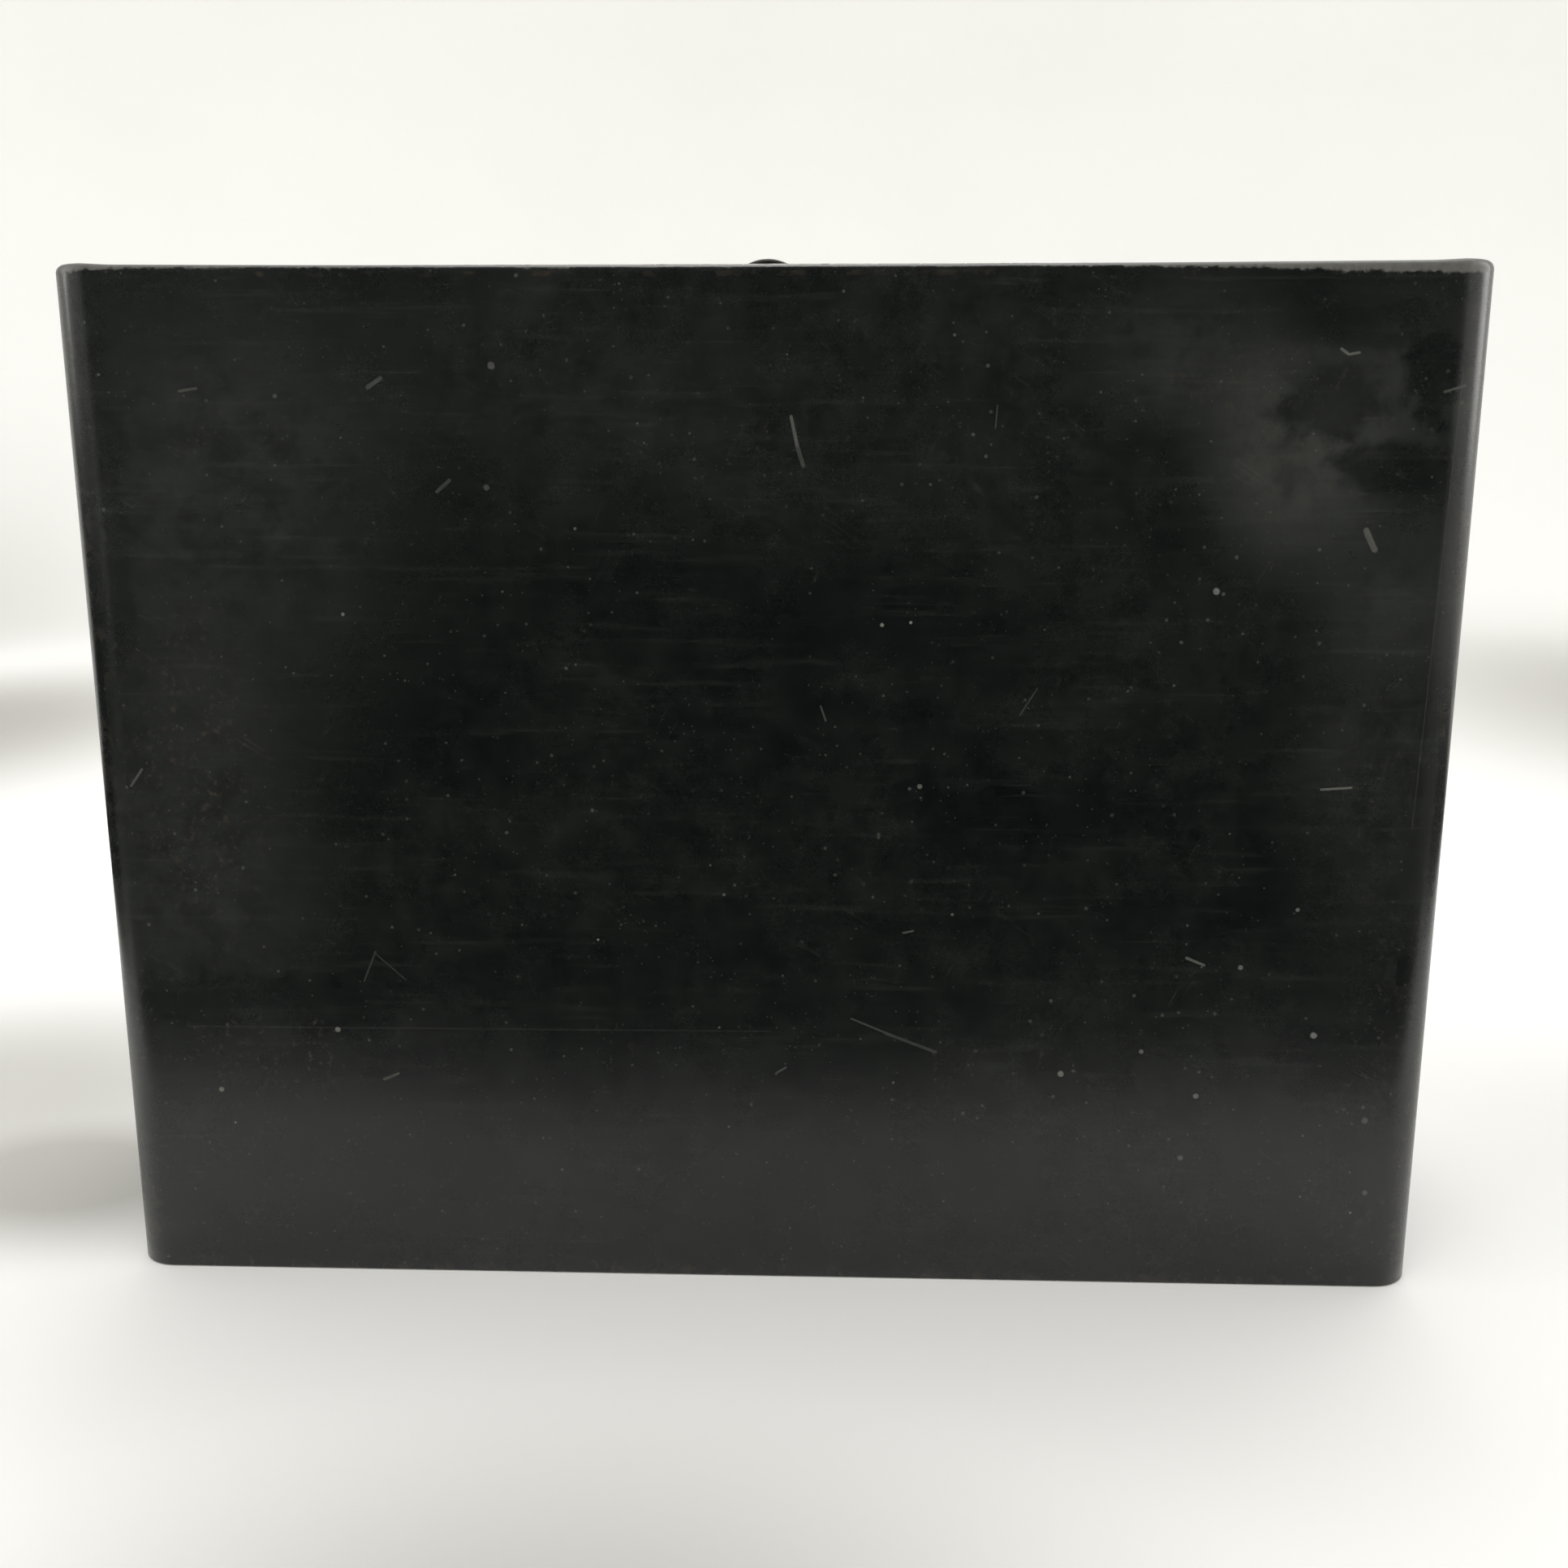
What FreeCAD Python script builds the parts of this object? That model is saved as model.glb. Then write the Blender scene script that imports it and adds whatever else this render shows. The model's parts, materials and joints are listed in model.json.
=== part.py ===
import FreeCAD, Part
import math
import os

from FreeCAD import Vector as V

# An upright sheet-steel archive box. Origin: middle of the flat base, on the surface that the box
# stands on. -X is the labelled end, -Y the plain hinge side, +Y the latch side, +Z is up.

# ------------------------------------------------------------------ driving dimensions (mm)
LENGTH = 330.0
DEPTH = 100.0
HEIGHT = 250.0
SHEET = 1.0
CORNER = 10.0               # outer radius of the four upright corners
SHOULDER = 2.0              # outer radius where the walls roll over into the rim

RIM = 11.0                  # width of the rim, outer face to mouth
MOUTH_CORNER = 4.0
LIP_DROP = 8.0              # how far the rim is turned down inside the mouth
LIP_BEND = 1.5

PAN_HEIGHT = 14.0
PAN_EASE = 0.1              # base pan to wall, each side
PAN_BEND = 2.0
SEAM_WIDTH = 0.5            # butt joint of the wrapped wall
STRIP_THICK = 0.8           # backing strip over the butt joint
STRIP_HALF = 8.0
STRIP_TOP = 216.0

LID_GAP = 1.0               # lid to mouth at the ends and at the latch side
HINGE_GAP = 4.0             # lid to mouth at the hinge side
LID_BEND = 1.5
BEAD_WIDTH = 8.0
BEAD_RISE = 1.2
BEAD_LENGTH = 262.0
BEAD_Y = (-20.0, 4.0)
LID_CORNER = 3.0

LEDGE_Z = 241.0             # upper face of the shelf under each end of the lid
LEDGE_LOW = 222.0           # lower edge of the ledge's upright leg
LEDGE_HALF = 26.0
LEDGE_REACH = 6.0           # how far the shelf comes in under the lid
BUMPER_HALF_X = 4.0
BUMPER_HALF_Y = 5.0
BUMPER_CORNER = 2.0
BUMPER_EASE = 0.1           # bumper to the closed lid
BUMPER_SPREAD = 34.0

KNUCKLE_RADIUS = 1.7
KNUCKLE_PITCH = 10.3
KNUCKLE_COUNT = 29
KNUCKLE_SPLIT = 0.3         # gap between neighbouring knuckles
PIN_RADIUS = 0.8
PIN_EASE = 0.05
PIN_END = 0.2               # pin past the last knuckle, before its peened head
PIN_HEAD_RADIUS = 1.3
PIN_HEAD = 0.8
LEAF = 0.7
LEAF_DROP = 6.7             # hinge axis down to the free edge of each leaf
HINGE_Z = HEIGHT - 1.0

LATCH_X = -2.2
LATCH_Y = 27.0
SPINDLE = 3.0               # radius
SPINDLE_EASE = 0.05
STACK_EASE = 0.02           # washers, sleeve, cam and nut to the spindle
WING_RADIUS = 12.2
WING_TOP = HEIGHT + 8.1
WING_THICK = 3.2
WING_EDGE = 0.7             # radius rubbed round all of the wing's edges
WING_STANDS = 0.5           # collar below the wing
COLLAR_RADIUS = 4.6
COLLAR_LAP = 1.6            # collar up into the wing
SPINDLE_END = 0.9           # spindle past the nut
CAM_REACH = 18.0
CAM_THICK = 1.6
CAM_HUB_RADIUS = 6.5
CAM_TIP_RADIUS = 4.5
CAM_Z = 239.0
RUN_GAP = 0.3               # between pieces that turn against each other
WASHER_THICK = 0.8          # plain washer and spring washer
WASHER_RADIUS = 6.0
SPRING_RADIUS = 5.2
SPRING_SPLIT = 0.8
SLEEVE_RADIUS = 4.5
NUT_THICK = 3.5
NUT_ACROSS = 10.0           # across flats
ROSE_HALF_X = 19.0
ROSE_HALF_Y = 9.0
ROSE_CORNER = 5.0
ROSE_EDGE = 0.5
STRIKE_HALF = 14.0
STRIKE_UP = 6.0             # strike's upright leg above the lip's lower edge
STRIKE_FOOT = 7.0

HOLDER_Z = 150.0            # middle of the label holder
HOLDER_HEIGHT = 50.0
HOLDER_WIDTH = 62.0
HOLDER_EAR = 5.0
HOLDER_SHEET = 0.8
HOLDER_BORDER = 5.0         # width of the frame round the card
EAR_CORNER = 2.0
CHANNEL = 1.4               # depth of the card channel
CARD_THICK = 0.6
CARD_HEIGHT = 46.0
CARD_EASE = 0.6             # card to the channel, each side

PULL_Z = 105.0              # pivot height of the drop pull
PULL_OUT = 3.6              # pivot axis out from the end wall
PULL_DROP = 22.0
BAIL_RADIUS = 2.0
BAIL_ARM = 19.5             # pivot arm to the middle of the pull
LUG_Y = 25.0
LUG_HALF = 2.0
LUG_RADIUS = 3.2
BAIL_TURN_IN = 3.5          # bend radii of the bail at the lugs and at the grip
BAIL_TURN_LOW = 6.5
PULL_PLATE_HALF = 10.0      # half height of the plate
PULL_PLATE_END = 3.0        # plate past each lug
PULL_PLATE_CORNER = 5.0
PULL_RIVET_UP = 4.0         # rivets above the pivot
PLATE = 1.2                 # thickness of the pull plate and of the rose

HOLE_EASE = 0.05            # rivet shank to its hole, radial
TAIL = 0.6                  # height of a rivet's closed tail

# ------------------------------------------------------------------ worked-out places (mm)
END = LENGTH / 2
SIDE = DEPTH / 2
MOUTH_X = END - RIM
MOUTH_Y = SIDE - RIM
LID_X = MOUTH_X - LID_GAP
LID_FRONT = MOUTH_Y - LID_GAP
LID_REAR = -MOUTH_Y + HINGE_GAP
LID_BOTTOM = HEIGHT - LIP_DROP
HINGE_Y = -MOUTH_Y + HINGE_GAP / 2
HINGE_LENGTH = KNUCKLE_PITCH * KNUCKLE_COUNT

X_AXIS = V(1, 0, 0)
Y_AXIS = V(0, 1, 0)
Z_AXIS = V(0, 0, 1)


# ------------------------------------------------------------------ helpers
def block(x0, x1, y0, y1, z0, z1):
    return Part.makeBox(x1 - x0, y1 - y0, z1 - z0, V(x0, y0, z0))


def rod(start, end, radius):
    run = end.sub(start)
    return Part.makeCylinder(radius, run.Length, start, run)


def edges_along(shape, axis):
    """Straight edges that run parallel to one axis."""
    found = []
    for edge in shape.Edges:
        run = edge.Vertexes[-1].Point.sub(edge.Vertexes[0].Point)
        straight = isinstance(edge.Curve, (Part.Line, Part.LineSegment))
        if straight and run.Length > 0 and run.normalize().cross(axis).Length < 1e-6:
            found.append(edge)
    return found


def edges_at(shape, z, half_x=1e6, half_y=1e6):
    """Edges that lie wholly at one height, within half_x and half_y of the middle."""
    found = []
    for edge in shape.Edges:
        box = edge.BoundBox
        level = abs(box.ZMin - z) < 1e-3 and abs(box.ZMax - z) < 1e-3
        reach_x = max(abs(box.XMin), abs(box.XMax))
        reach_y = max(abs(box.YMin), abs(box.YMax))
        if level and reach_x < half_x and reach_y < half_y:
            found.append(edge)
    return found


def rounded(x0, x1, y0, y1, z0, z1, radius):
    """Upright block with its four upright edges rounded."""
    shape = block(x0, x1, y0, y1, z0, z1)
    return shape.makeFillet(radius, edges_along(shape, Z_AXIS))


def centred(half_x, half_y, z0, z1, radius):
    return rounded(-half_x, half_x, -half_y, half_y, z0, z1, radius)


def turned(edges, centre, axis):
    """Solid of revolution. edges close a profile in the XZ plane: X is radius, Z runs along axis."""
    solid = Part.Face(Part.Wire(edges)).revolve(V(0, 0, 0), Z_AXIS, 360)
    solid.Placement = FreeCAD.Placement(centre, FreeCAD.Rotation(Z_AXIS, axis))
    return solid


def ring(outer, inner, z0, z1, centre):
    """Upright ring, such as a washer or a sleeve."""
    low = centre + V(0, 0, z0)
    high = centre + V(0, 0, z1)
    return rod(low, high, outer).cut(rod(low, high, inner))


def rivet(point, outward, shank, grip):
    """Round-head rivet: domed head on point, shank through grip, flat tail closed behind it."""
    head = shank * 1.75
    rise = shank * 0.75
    dome = (head ** 2 + rise ** 2) / (2 * rise)
    half = math.asin(head / dome) / 2
    crown = V(dome * math.sin(half), 0, rise - dome + dome * math.cos(half))
    tail = shank * 1.5
    corners = [V(0, 0, rise), V(0, 0, -grip - TAIL), V(tail, 0, -grip - TAIL), V(tail, 0, -grip),
               V(shank, 0, -grip), V(shank, 0, 0), V(head, 0, 0)]
    edges = [Part.LineSegment(a, b).toShape() for a, b in zip(corners, corners[1:])]
    edges.append(Part.Arc(corners[-1], crown, corners[0]).toShape())
    return turned(edges, point, outward)


def rivets(points, outward, shank, grip):
    return Part.makeCompound([rivet(point, outward, shank, grip) for point in points])


def drilled(shape, points, axis, radius):
    """Shape with a through hole along axis at each point."""
    reach = axis * 6.0
    for point in points:
        shape = shape.cut(rod(point - reach, point + reach, radius + HOLE_EASE))
    return shape


def spread(count, pitch):
    """Evenly spaced places either side of zero."""
    return [(i - (count - 1) / 2) * pitch for i in range(count)]


# ------------------------------------------------------------------ fastener places
HINGE_RIVET = 0.8           # shank radii
LEDGE_RIVET = 1.5
SMALL_RIVET = 1.2
HINGE_RIVET_Z = HINGE_Z - 4.4
CASE_RIVET_AT = [V(x, -MOUTH_Y + LEAF, HINGE_RIVET_Z) for x in spread(9, 32.0)]
LID_RIVET_AT = [V(x, LID_REAR - LEAF, HINGE_RIVET_Z) for x in spread(8, 32.0)]
LEDGE_RIVET_Y = spread(2, 36.0)
LEDGE_RIVET_Z = 231.0
STRIKE_RIVET_AT = [V(LATCH_X + x, MOUTH_Y, 245.6) for x in spread(2, 18.0)]
HOLDER_RIVET_AT = [V(-END - HOLDER_SHEET, y, HOLDER_Z + z)
                   for y in spread(2, HOLDER_WIDTH + HOLDER_EAR)
                   for z in spread(2, 36.0)]
PULL_RIVET_AT = [V(-END - PLATE, y, PULL_Z + PULL_RIVET_UP) for y in spread(2, 20.0)]
ROSE_RIVET_AT = [V(LATCH_X + x, LATCH_Y, HEIGHT + PLATE) for x in spread(2, 29.0)]


# ------------------------------------------------------------------ case
def case_shell():
    """Wrapped wall, shoulder, rim and turned-down lip, drawn from one sheet."""
    outer = centred(END, SIDE, 0, HEIGHT, CORNER)
    outer = outer.makeFillet(SHOULDER, edges_at(outer, HEIGHT))
    inner = centred(END - SHEET, SIDE - SHEET, -1, HEIGHT - SHEET, CORNER - SHEET)
    inner = inner.makeFillet(SHOULDER - SHEET, edges_at(inner, HEIGHT - SHEET))
    lip = centred(MOUTH_X + SHEET, MOUTH_Y + SHEET, LID_BOTTOM, HEIGHT - SHEET / 2,
                  MOUTH_CORNER + SHEET)
    shell = outer.cut(inner).fuse(lip)
    shell = shell.cut(centred(MOUTH_X, MOUTH_Y, LID_BOTTOM - 1, HEIGHT + 1, MOUTH_CORNER))
    shell = shell.removeSplitter()
    shell = shell.makeFillet(LIP_BEND, edges_at(shell, HEIGHT, MOUTH_X + 0.1, MOUTH_Y + 0.1))
    seam_depth = SHEET / 2
    shell = shell.cut(block(END - seam_depth, END + 1, -SEAM_WIDTH / 2, SEAM_WIDTH / 2,
                            -1, HEIGHT - SHOULDER))
    shell = drilled(shell, CASE_RIVET_AT, Y_AXIS, HINGE_RIVET)
    shell = drilled(shell, STRIKE_RIVET_AT, Y_AXIS, SMALL_RIVET)
    for end in (-END, END):
        at = [V(end, y, LEDGE_RIVET_Z) for y in LEDGE_RIVET_Y]
        shell = drilled(shell, at, X_AXIS, LEDGE_RIVET)
    shell = drilled(shell, HOLDER_RIVET_AT, X_AXIS, SMALL_RIVET)
    return drilled(shell, PULL_RIVET_AT, X_AXIS, LEDGE_RIVET)


def base_pan():
    """Shallow tray pushed up into the wall and welded to it; its floor is the base."""
    half_x = END - SHEET - PAN_EASE
    half_y = SIDE - SHEET - PAN_EASE
    corner = CORNER - SHEET - PAN_EASE
    outer = centred(half_x, half_y, 0, PAN_HEIGHT, corner)
    outer = outer.makeFillet(PAN_BEND, edges_at(outer, 0))
    inner = centred(half_x - SHEET, half_y - SHEET, SHEET, PAN_HEIGHT + 1, corner - SHEET)
    inner = inner.makeFillet(PAN_BEND - SHEET, edges_at(inner, SHEET))
    return outer.cut(inner)


def seam_strip():
    """Backing strip welded inside over the butt joint of the wall."""
    back = END - SHEET
    above_pan = PAN_HEIGHT + 2 * SHEET
    return block(back - STRIP_THICK, back, -STRIP_HALF, STRIP_HALF, above_pan, STRIP_TOP)


def end_ledge(side):
    """Angle under one end of the lid: upright leg on the wall, shelf reaching in under the lid."""
    wall = END - SHEET
    shelf_in = LID_X - LEDGE_REACH
    upright = block(wall - SHEET, wall, -LEDGE_HALF, LEDGE_HALF, LEDGE_LOW, LEDGE_Z)
    shelf = block(shelf_in, wall, -LEDGE_HALF, LEDGE_HALF, LEDGE_Z - SHEET, LEDGE_Z)
    angle = upright.fuse(shelf).removeSplitter()
    at = [V(wall, y, LEDGE_RIVET_Z) for y in LEDGE_RIVET_Y]
    angle = drilled(angle, at, X_AXIS, LEDGE_RIVET)
    if side < 0:
        angle = angle.mirror(V(0, 0, 0), X_AXIS)
    return angle


def ledge_rivets():
    groups = []
    for side in (-1, 1):
        at = [V(side * END, y, LEDGE_RIVET_Z) for y in LEDGE_RIVET_Y]
        groups.append(rivets(at, X_AXIS * side, LEDGE_RIVET, 2 * SHEET))
    return Part.makeCompound([solid for group in groups for solid in group.Solids])


def lid_bumpers():
    """Four rubber pads on the ledges, which the lid's ends come down on."""
    pads = []
    for side in (-1, 1):
        for y in spread(2, BUMPER_SPREAD):
            middle = side * LID_X
            pad = rounded(middle - BUMPER_HALF_X, middle + BUMPER_HALF_X,
                          y - BUMPER_HALF_Y, y + BUMPER_HALF_Y,
                          LEDGE_Z, LID_BOTTOM - BUMPER_EASE, BUMPER_CORNER)
            pads.append(pad)
    return Part.makeCompound(pads)


def hinge_leaf(owned, face, sign, holes):
    """One leaf of the piano hinge: owned knuckles, and a plate hanging from them at face."""
    plate_y = sorted((face, face + sign * LEAF))
    low = HINGE_Z - LEAF_DROP
    clear = HINGE_Z - KNUCKLE_RADIUS - RUN_GAP
    half = HINGE_LENGTH / 2
    leaf = block(-half, half, plate_y[0], plate_y[1], low, clear)
    length = KNUCKLE_PITCH - KNUCKLE_SPLIT
    for x in [spread(KNUCKLE_COUNT, KNUCKLE_PITCH)[i] for i in owned]:
        start = V(x - length / 2, HINGE_Y, HINGE_Z)
        tab = block(x - length / 2, x + length / 2, plate_y[0], plate_y[1], clear, HINGE_Z)
        leaf = leaf.fuse([tab, rod(start, start + X_AXIS * length, KNUCKLE_RADIUS)])
    axis = V(half + 1, HINGE_Y, HINGE_Z)
    leaf = leaf.cut(rod(V(-axis.x, axis.y, axis.z), axis, PIN_RADIUS + PIN_EASE))
    return drilled(leaf.removeSplitter(), holes, Y_AXIS, HINGE_RIVET)


def hinge_pin():
    """Wire through all the knuckles, peened over at both ends."""
    half = HINGE_LENGTH / 2 + PIN_END
    end = V(half, HINGE_Y, HINGE_Z)
    start = V(-half, HINGE_Y, HINGE_Z)
    pin = rod(start, end, PIN_RADIUS)
    head = X_AXIS * PIN_HEAD
    heads = [rod(end, end + head, PIN_HEAD_RADIUS), rod(start - head, start, PIN_HEAD_RADIUS)]
    return pin.fuse(heads).removeSplitter()


def strike_plate():
    """Small angle behind the front lip, which the cam turns in under."""
    left = LATCH_X - STRIKE_HALF
    right = LATCH_X + STRIKE_HALF
    back = MOUTH_Y + SHEET
    upright = block(left, right, back, back + SHEET, LID_BOTTOM - SHEET, LID_BOTTOM + STRIKE_UP)
    foot = block(left, right, back, back + STRIKE_FOOT, LID_BOTTOM - SHEET, LID_BOTTOM)
    angle = upright.fuse(foot).removeSplitter()
    return drilled(angle, STRIKE_RIVET_AT, Y_AXIS, SMALL_RIVET)


def strike_rivets():
    """Flush pins through the lip, closed behind the strike so that the lid side stays smooth."""
    pins = []
    for point in STRIKE_RIVET_AT:
        back = point + Y_AXIS * 2 * SHEET
        pins.append(rod(point, back, SMALL_RIVET).fuse(rod(back, back + Y_AXIS * TAIL, 2.0)))
    return Part.makeCompound(pins)


# ------------------------------------------------------------------ lid
def bead(y, inset):
    """Long round-ended bar; with no inset its crown stands BEAD_RISE over the lid."""
    full = ((BEAD_WIDTH / 2) ** 2 + BEAD_RISE ** 2) / (2 * BEAD_RISE)
    z = HEIGHT + BEAD_RISE - full
    half = BEAD_LENGTH / 2 - full
    start = V(-half, y, z)
    end = V(half, y, z)
    radius = full - inset
    return rod(start, end, radius).fuse([Part.makeSphere(radius, start),
                                         Part.makeSphere(radius, end)])


def lid_panel():
    """Inset lid: flat top with two pressed beads and a skirt turned down all round."""
    outer = rounded(-LID_X, LID_X, LID_REAR, LID_FRONT, LID_BOTTOM, HEIGHT, LID_CORNER)
    outer = outer.makeFillet(LID_BEND, edges_at(outer, HEIGHT))
    inner = rounded(-LID_X + SHEET, LID_X - SHEET, LID_REAR + SHEET, LID_FRONT - SHEET,
                    LID_BOTTOM - 1, HEIGHT - SHEET, LID_CORNER - SHEET)
    lid = outer.cut(inner)
    crown = block(-LID_X, LID_X, LID_REAR, LID_FRONT, HEIGHT - SHEET / 2, HEIGHT + 5)
    under = block(-LID_X, LID_X, LID_REAR, LID_FRONT, HEIGHT - SHEET - 5, HEIGHT + 5)
    for y in BEAD_Y:
        lid = lid.fuse(bead(y, 0).common(crown))
        lid = lid.cut(bead(y, SHEET).common(under))
    lid = lid.removeSplitter()
    centre = V(LATCH_X, LATCH_Y, HEIGHT)
    lid = drilled(lid, [centre], Z_AXIS, SPINDLE + 0.5)
    lid = drilled(lid, ROSE_RIVET_AT, Z_AXIS, SMALL_RIVET)
    return drilled(lid, LID_RIVET_AT, Y_AXIS, HINGE_RIVET)


def latch_rose():
    """Escutcheon plate that carries the thumb turn's spindle."""
    plate = rounded(LATCH_X - ROSE_HALF_X, LATCH_X + ROSE_HALF_X, LATCH_Y - ROSE_HALF_Y,
                    LATCH_Y + ROSE_HALF_Y, HEIGHT, HEIGHT + PLATE, ROSE_CORNER)
    plate = plate.makeFillet(ROSE_EDGE, edges_at(plate, HEIGHT + PLATE))
    plate = drilled(plate, [V(LATCH_X, LATCH_Y, HEIGHT)], Z_AXIS,
                    SPINDLE + SPINDLE_EASE - HOLE_EASE)
    return drilled(plate, ROSE_RIVET_AT, Z_AXIS, SMALL_RIVET)


# ------------------------------------------------------------------ latch
SLEEVE_TOP = HEIGHT - SHEET - RUN_GAP - 2 * WASHER_THICK
SNUG = SPINDLE + STACK_EASE


def thumb_turn():
    """Half-round wing on a collar, in one piece with the spindle."""
    middle = V(LATCH_X, LATCH_Y, 0)
    collar_low = HEIGHT + PLATE + RUN_GAP
    wing_low = collar_low + WING_STANDS
    centre = middle + V(0, -WING_THICK / 2, WING_TOP - WING_RADIUS)
    disc = rod(centre, centre + Y_AXIS * WING_THICK, WING_RADIUS)
    span = WING_RADIUS + 1
    keep = block(LATCH_X - span, LATCH_X + span, LATCH_Y - span, LATCH_Y + span,
                 wing_low, WING_TOP + 1)
    wing = disc.common(keep)
    wing = wing.makeFillet(WING_EDGE, wing.Edges)
    collar = rod(middle + Z_AXIS * collar_low, middle + Z_AXIS * (wing_low + COLLAR_LAP),
                 COLLAR_RADIUS)
    spindle_low = CAM_Z - NUT_THICK - SPINDLE_END
    spindle = rod(middle + Z_AXIS * spindle_low, middle + Z_AXIS * wing_low, SPINDLE)
    return wing.fuse([collar, spindle]).removeSplitter()


def latch_washer():
    low = SLEEVE_TOP + WASHER_THICK
    return ring(WASHER_RADIUS, SNUG, low, low + WASHER_THICK, V(LATCH_X, LATCH_Y, 0))


def spring_washer():
    """Split ring that keeps the thumb turn from rattling."""
    centre = V(LATCH_X, LATCH_Y, 0)
    washer = ring(SPRING_RADIUS, SNUG, SLEEVE_TOP, SLEEVE_TOP + WASHER_THICK, centre)
    half = SPRING_SPLIT / 2
    split = block(LATCH_X, LATCH_X + SPRING_RADIUS + 1, LATCH_Y - half, LATCH_Y + half,
                  CAM_Z, HEIGHT)
    return washer.cut(split)


def latch_sleeve():
    return ring(SLEEVE_RADIUS, SNUG, CAM_Z + CAM_THICK, SLEEVE_TOP, V(LATCH_X, LATCH_Y, 0))


def latch_cam():
    """Locking arm; points along the lid when free, and turns out under the strike."""
    hub = V(LATCH_X, LATCH_Y, CAM_Z)
    tip = hub + X_AXIS * (CAM_REACH - CAM_TIP_RADIUS)
    rise = Z_AXIS * CAM_THICK
    arm = block(hub.x, tip.x, hub.y - CAM_TIP_RADIUS, hub.y + CAM_TIP_RADIUS,
                CAM_Z, CAM_Z + CAM_THICK)
    ends = [rod(tip, tip + rise, CAM_TIP_RADIUS), arm]
    cam = rod(hub, hub + rise, CAM_HUB_RADIUS).fuse(ends)
    return cam.removeSplitter().cut(rod(hub, hub + rise, SNUG))


def latch_nut():
    corner_radius = NUT_ACROSS / 2 / math.cos(math.pi / 6)
    corners = []
    for i in range(7):
        angle = i * math.pi / 3
        offset = V(math.cos(angle), math.sin(angle), 0) * corner_radius
        corners.append(V(LATCH_X, LATCH_Y, CAM_Z - NUT_THICK) + offset)
    nut = Part.Face(Part.makePolygon(corners)).extrude(Z_AXIS * NUT_THICK)
    hub = V(LATCH_X, LATCH_Y, CAM_Z)
    return nut.cut(rod(hub - Z_AXIS * NUT_THICK, hub, SNUG))


# ------------------------------------------------------------------ labelled end
def on_labelled_end(shape):
    """Puts what is drawn on the +X end on the -X end."""
    return shape.mirror(V(0, 0, 0), X_AXIS)


def label_holder():
    """Three-sided frame pressed from thin sheet, open at the top; flanges riveted to the wall."""
    low = HOLDER_Z - HOLDER_HEIGHT / 2
    high = HOLDER_Z + HOLDER_HEIGHT / 2
    half = HOLDER_WIDTH / 2
    front = END + CHANNEL + HOLDER_SHEET
    frame = block(END, front, -half, half, low, high)
    frame = frame.makeFillet(HOLDER_SHEET, [edge for edge in edges_along(frame, Z_AXIS)
                                            if edge.BoundBox.XMin > END + 1])
    wall = HOLDER_SHEET
    frame = frame.cut(block(END - 1, END + CHANNEL, -half + wall, half - wall, low + wall, high + 1))
    inside = half - HOLDER_BORDER
    frame = frame.cut(block(END, front + 1, -inside, inside, low + HOLDER_BORDER, high + 1))
    ears = block(END, END + HOLDER_SHEET, -half - HOLDER_EAR, half + HOLDER_EAR, low, high)
    ears = ears.makeFillet(EAR_CORNER, edges_along(ears, X_AXIS))
    ears = ears.cut(block(END - 1, END + 2, -half + wall, half - wall, low - 1, high + 1))
    frame = on_labelled_end(frame.fuse(ears).removeSplitter())
    return drilled(frame, HOLDER_RIVET_AT, X_AXIS, SMALL_RIVET)


def label_card():
    """Blank card that drops into the holder from above."""
    low = HOLDER_Z - HOLDER_HEIGHT / 2 + HOLDER_SHEET + RUN_GAP
    middle = END + CHANNEL / 2
    half = HOLDER_WIDTH / 2 - HOLDER_SHEET - CARD_EASE
    back = middle - CARD_THICK / 2
    card = block(back, back + CARD_THICK, -half, half, low, low + CARD_HEIGHT)
    return on_labelled_end(card)


def pull_plate():
    """Backplate of the drop pull with two lugs cast on it."""
    half = LUG_Y + LUG_HALF + PULL_PLATE_END
    axis_x = END + PULL_OUT
    plate = block(END, END + PLATE, -half, half,
                  PULL_Z - PULL_PLATE_HALF, PULL_Z + PULL_PLATE_HALF)
    plate = plate.makeFillet(PULL_PLATE_CORNER, edges_along(plate, X_AXIS))
    for side in (-1, 1):
        low = V(axis_x, side * LUG_Y - LUG_HALF, PULL_Z)
        barrel = rod(low, low + Y_AXIS * 2 * LUG_HALF, LUG_RADIUS)
        root = block(END, axis_x, low.y, low.y + 2 * LUG_HALF,
                     PULL_Z - LUG_RADIUS, PULL_Z + LUG_RADIUS)
        plate = plate.fuse([barrel, root])
    bore = rod(V(axis_x, -half, PULL_Z), V(axis_x, half, PULL_Z), BAIL_RADIUS + PIN_EASE)
    plate = on_labelled_end(plate.removeSplitter().cut(bore))
    return drilled(plate, PULL_RIVET_AT, X_AXIS, LEDGE_RIVET)


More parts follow.
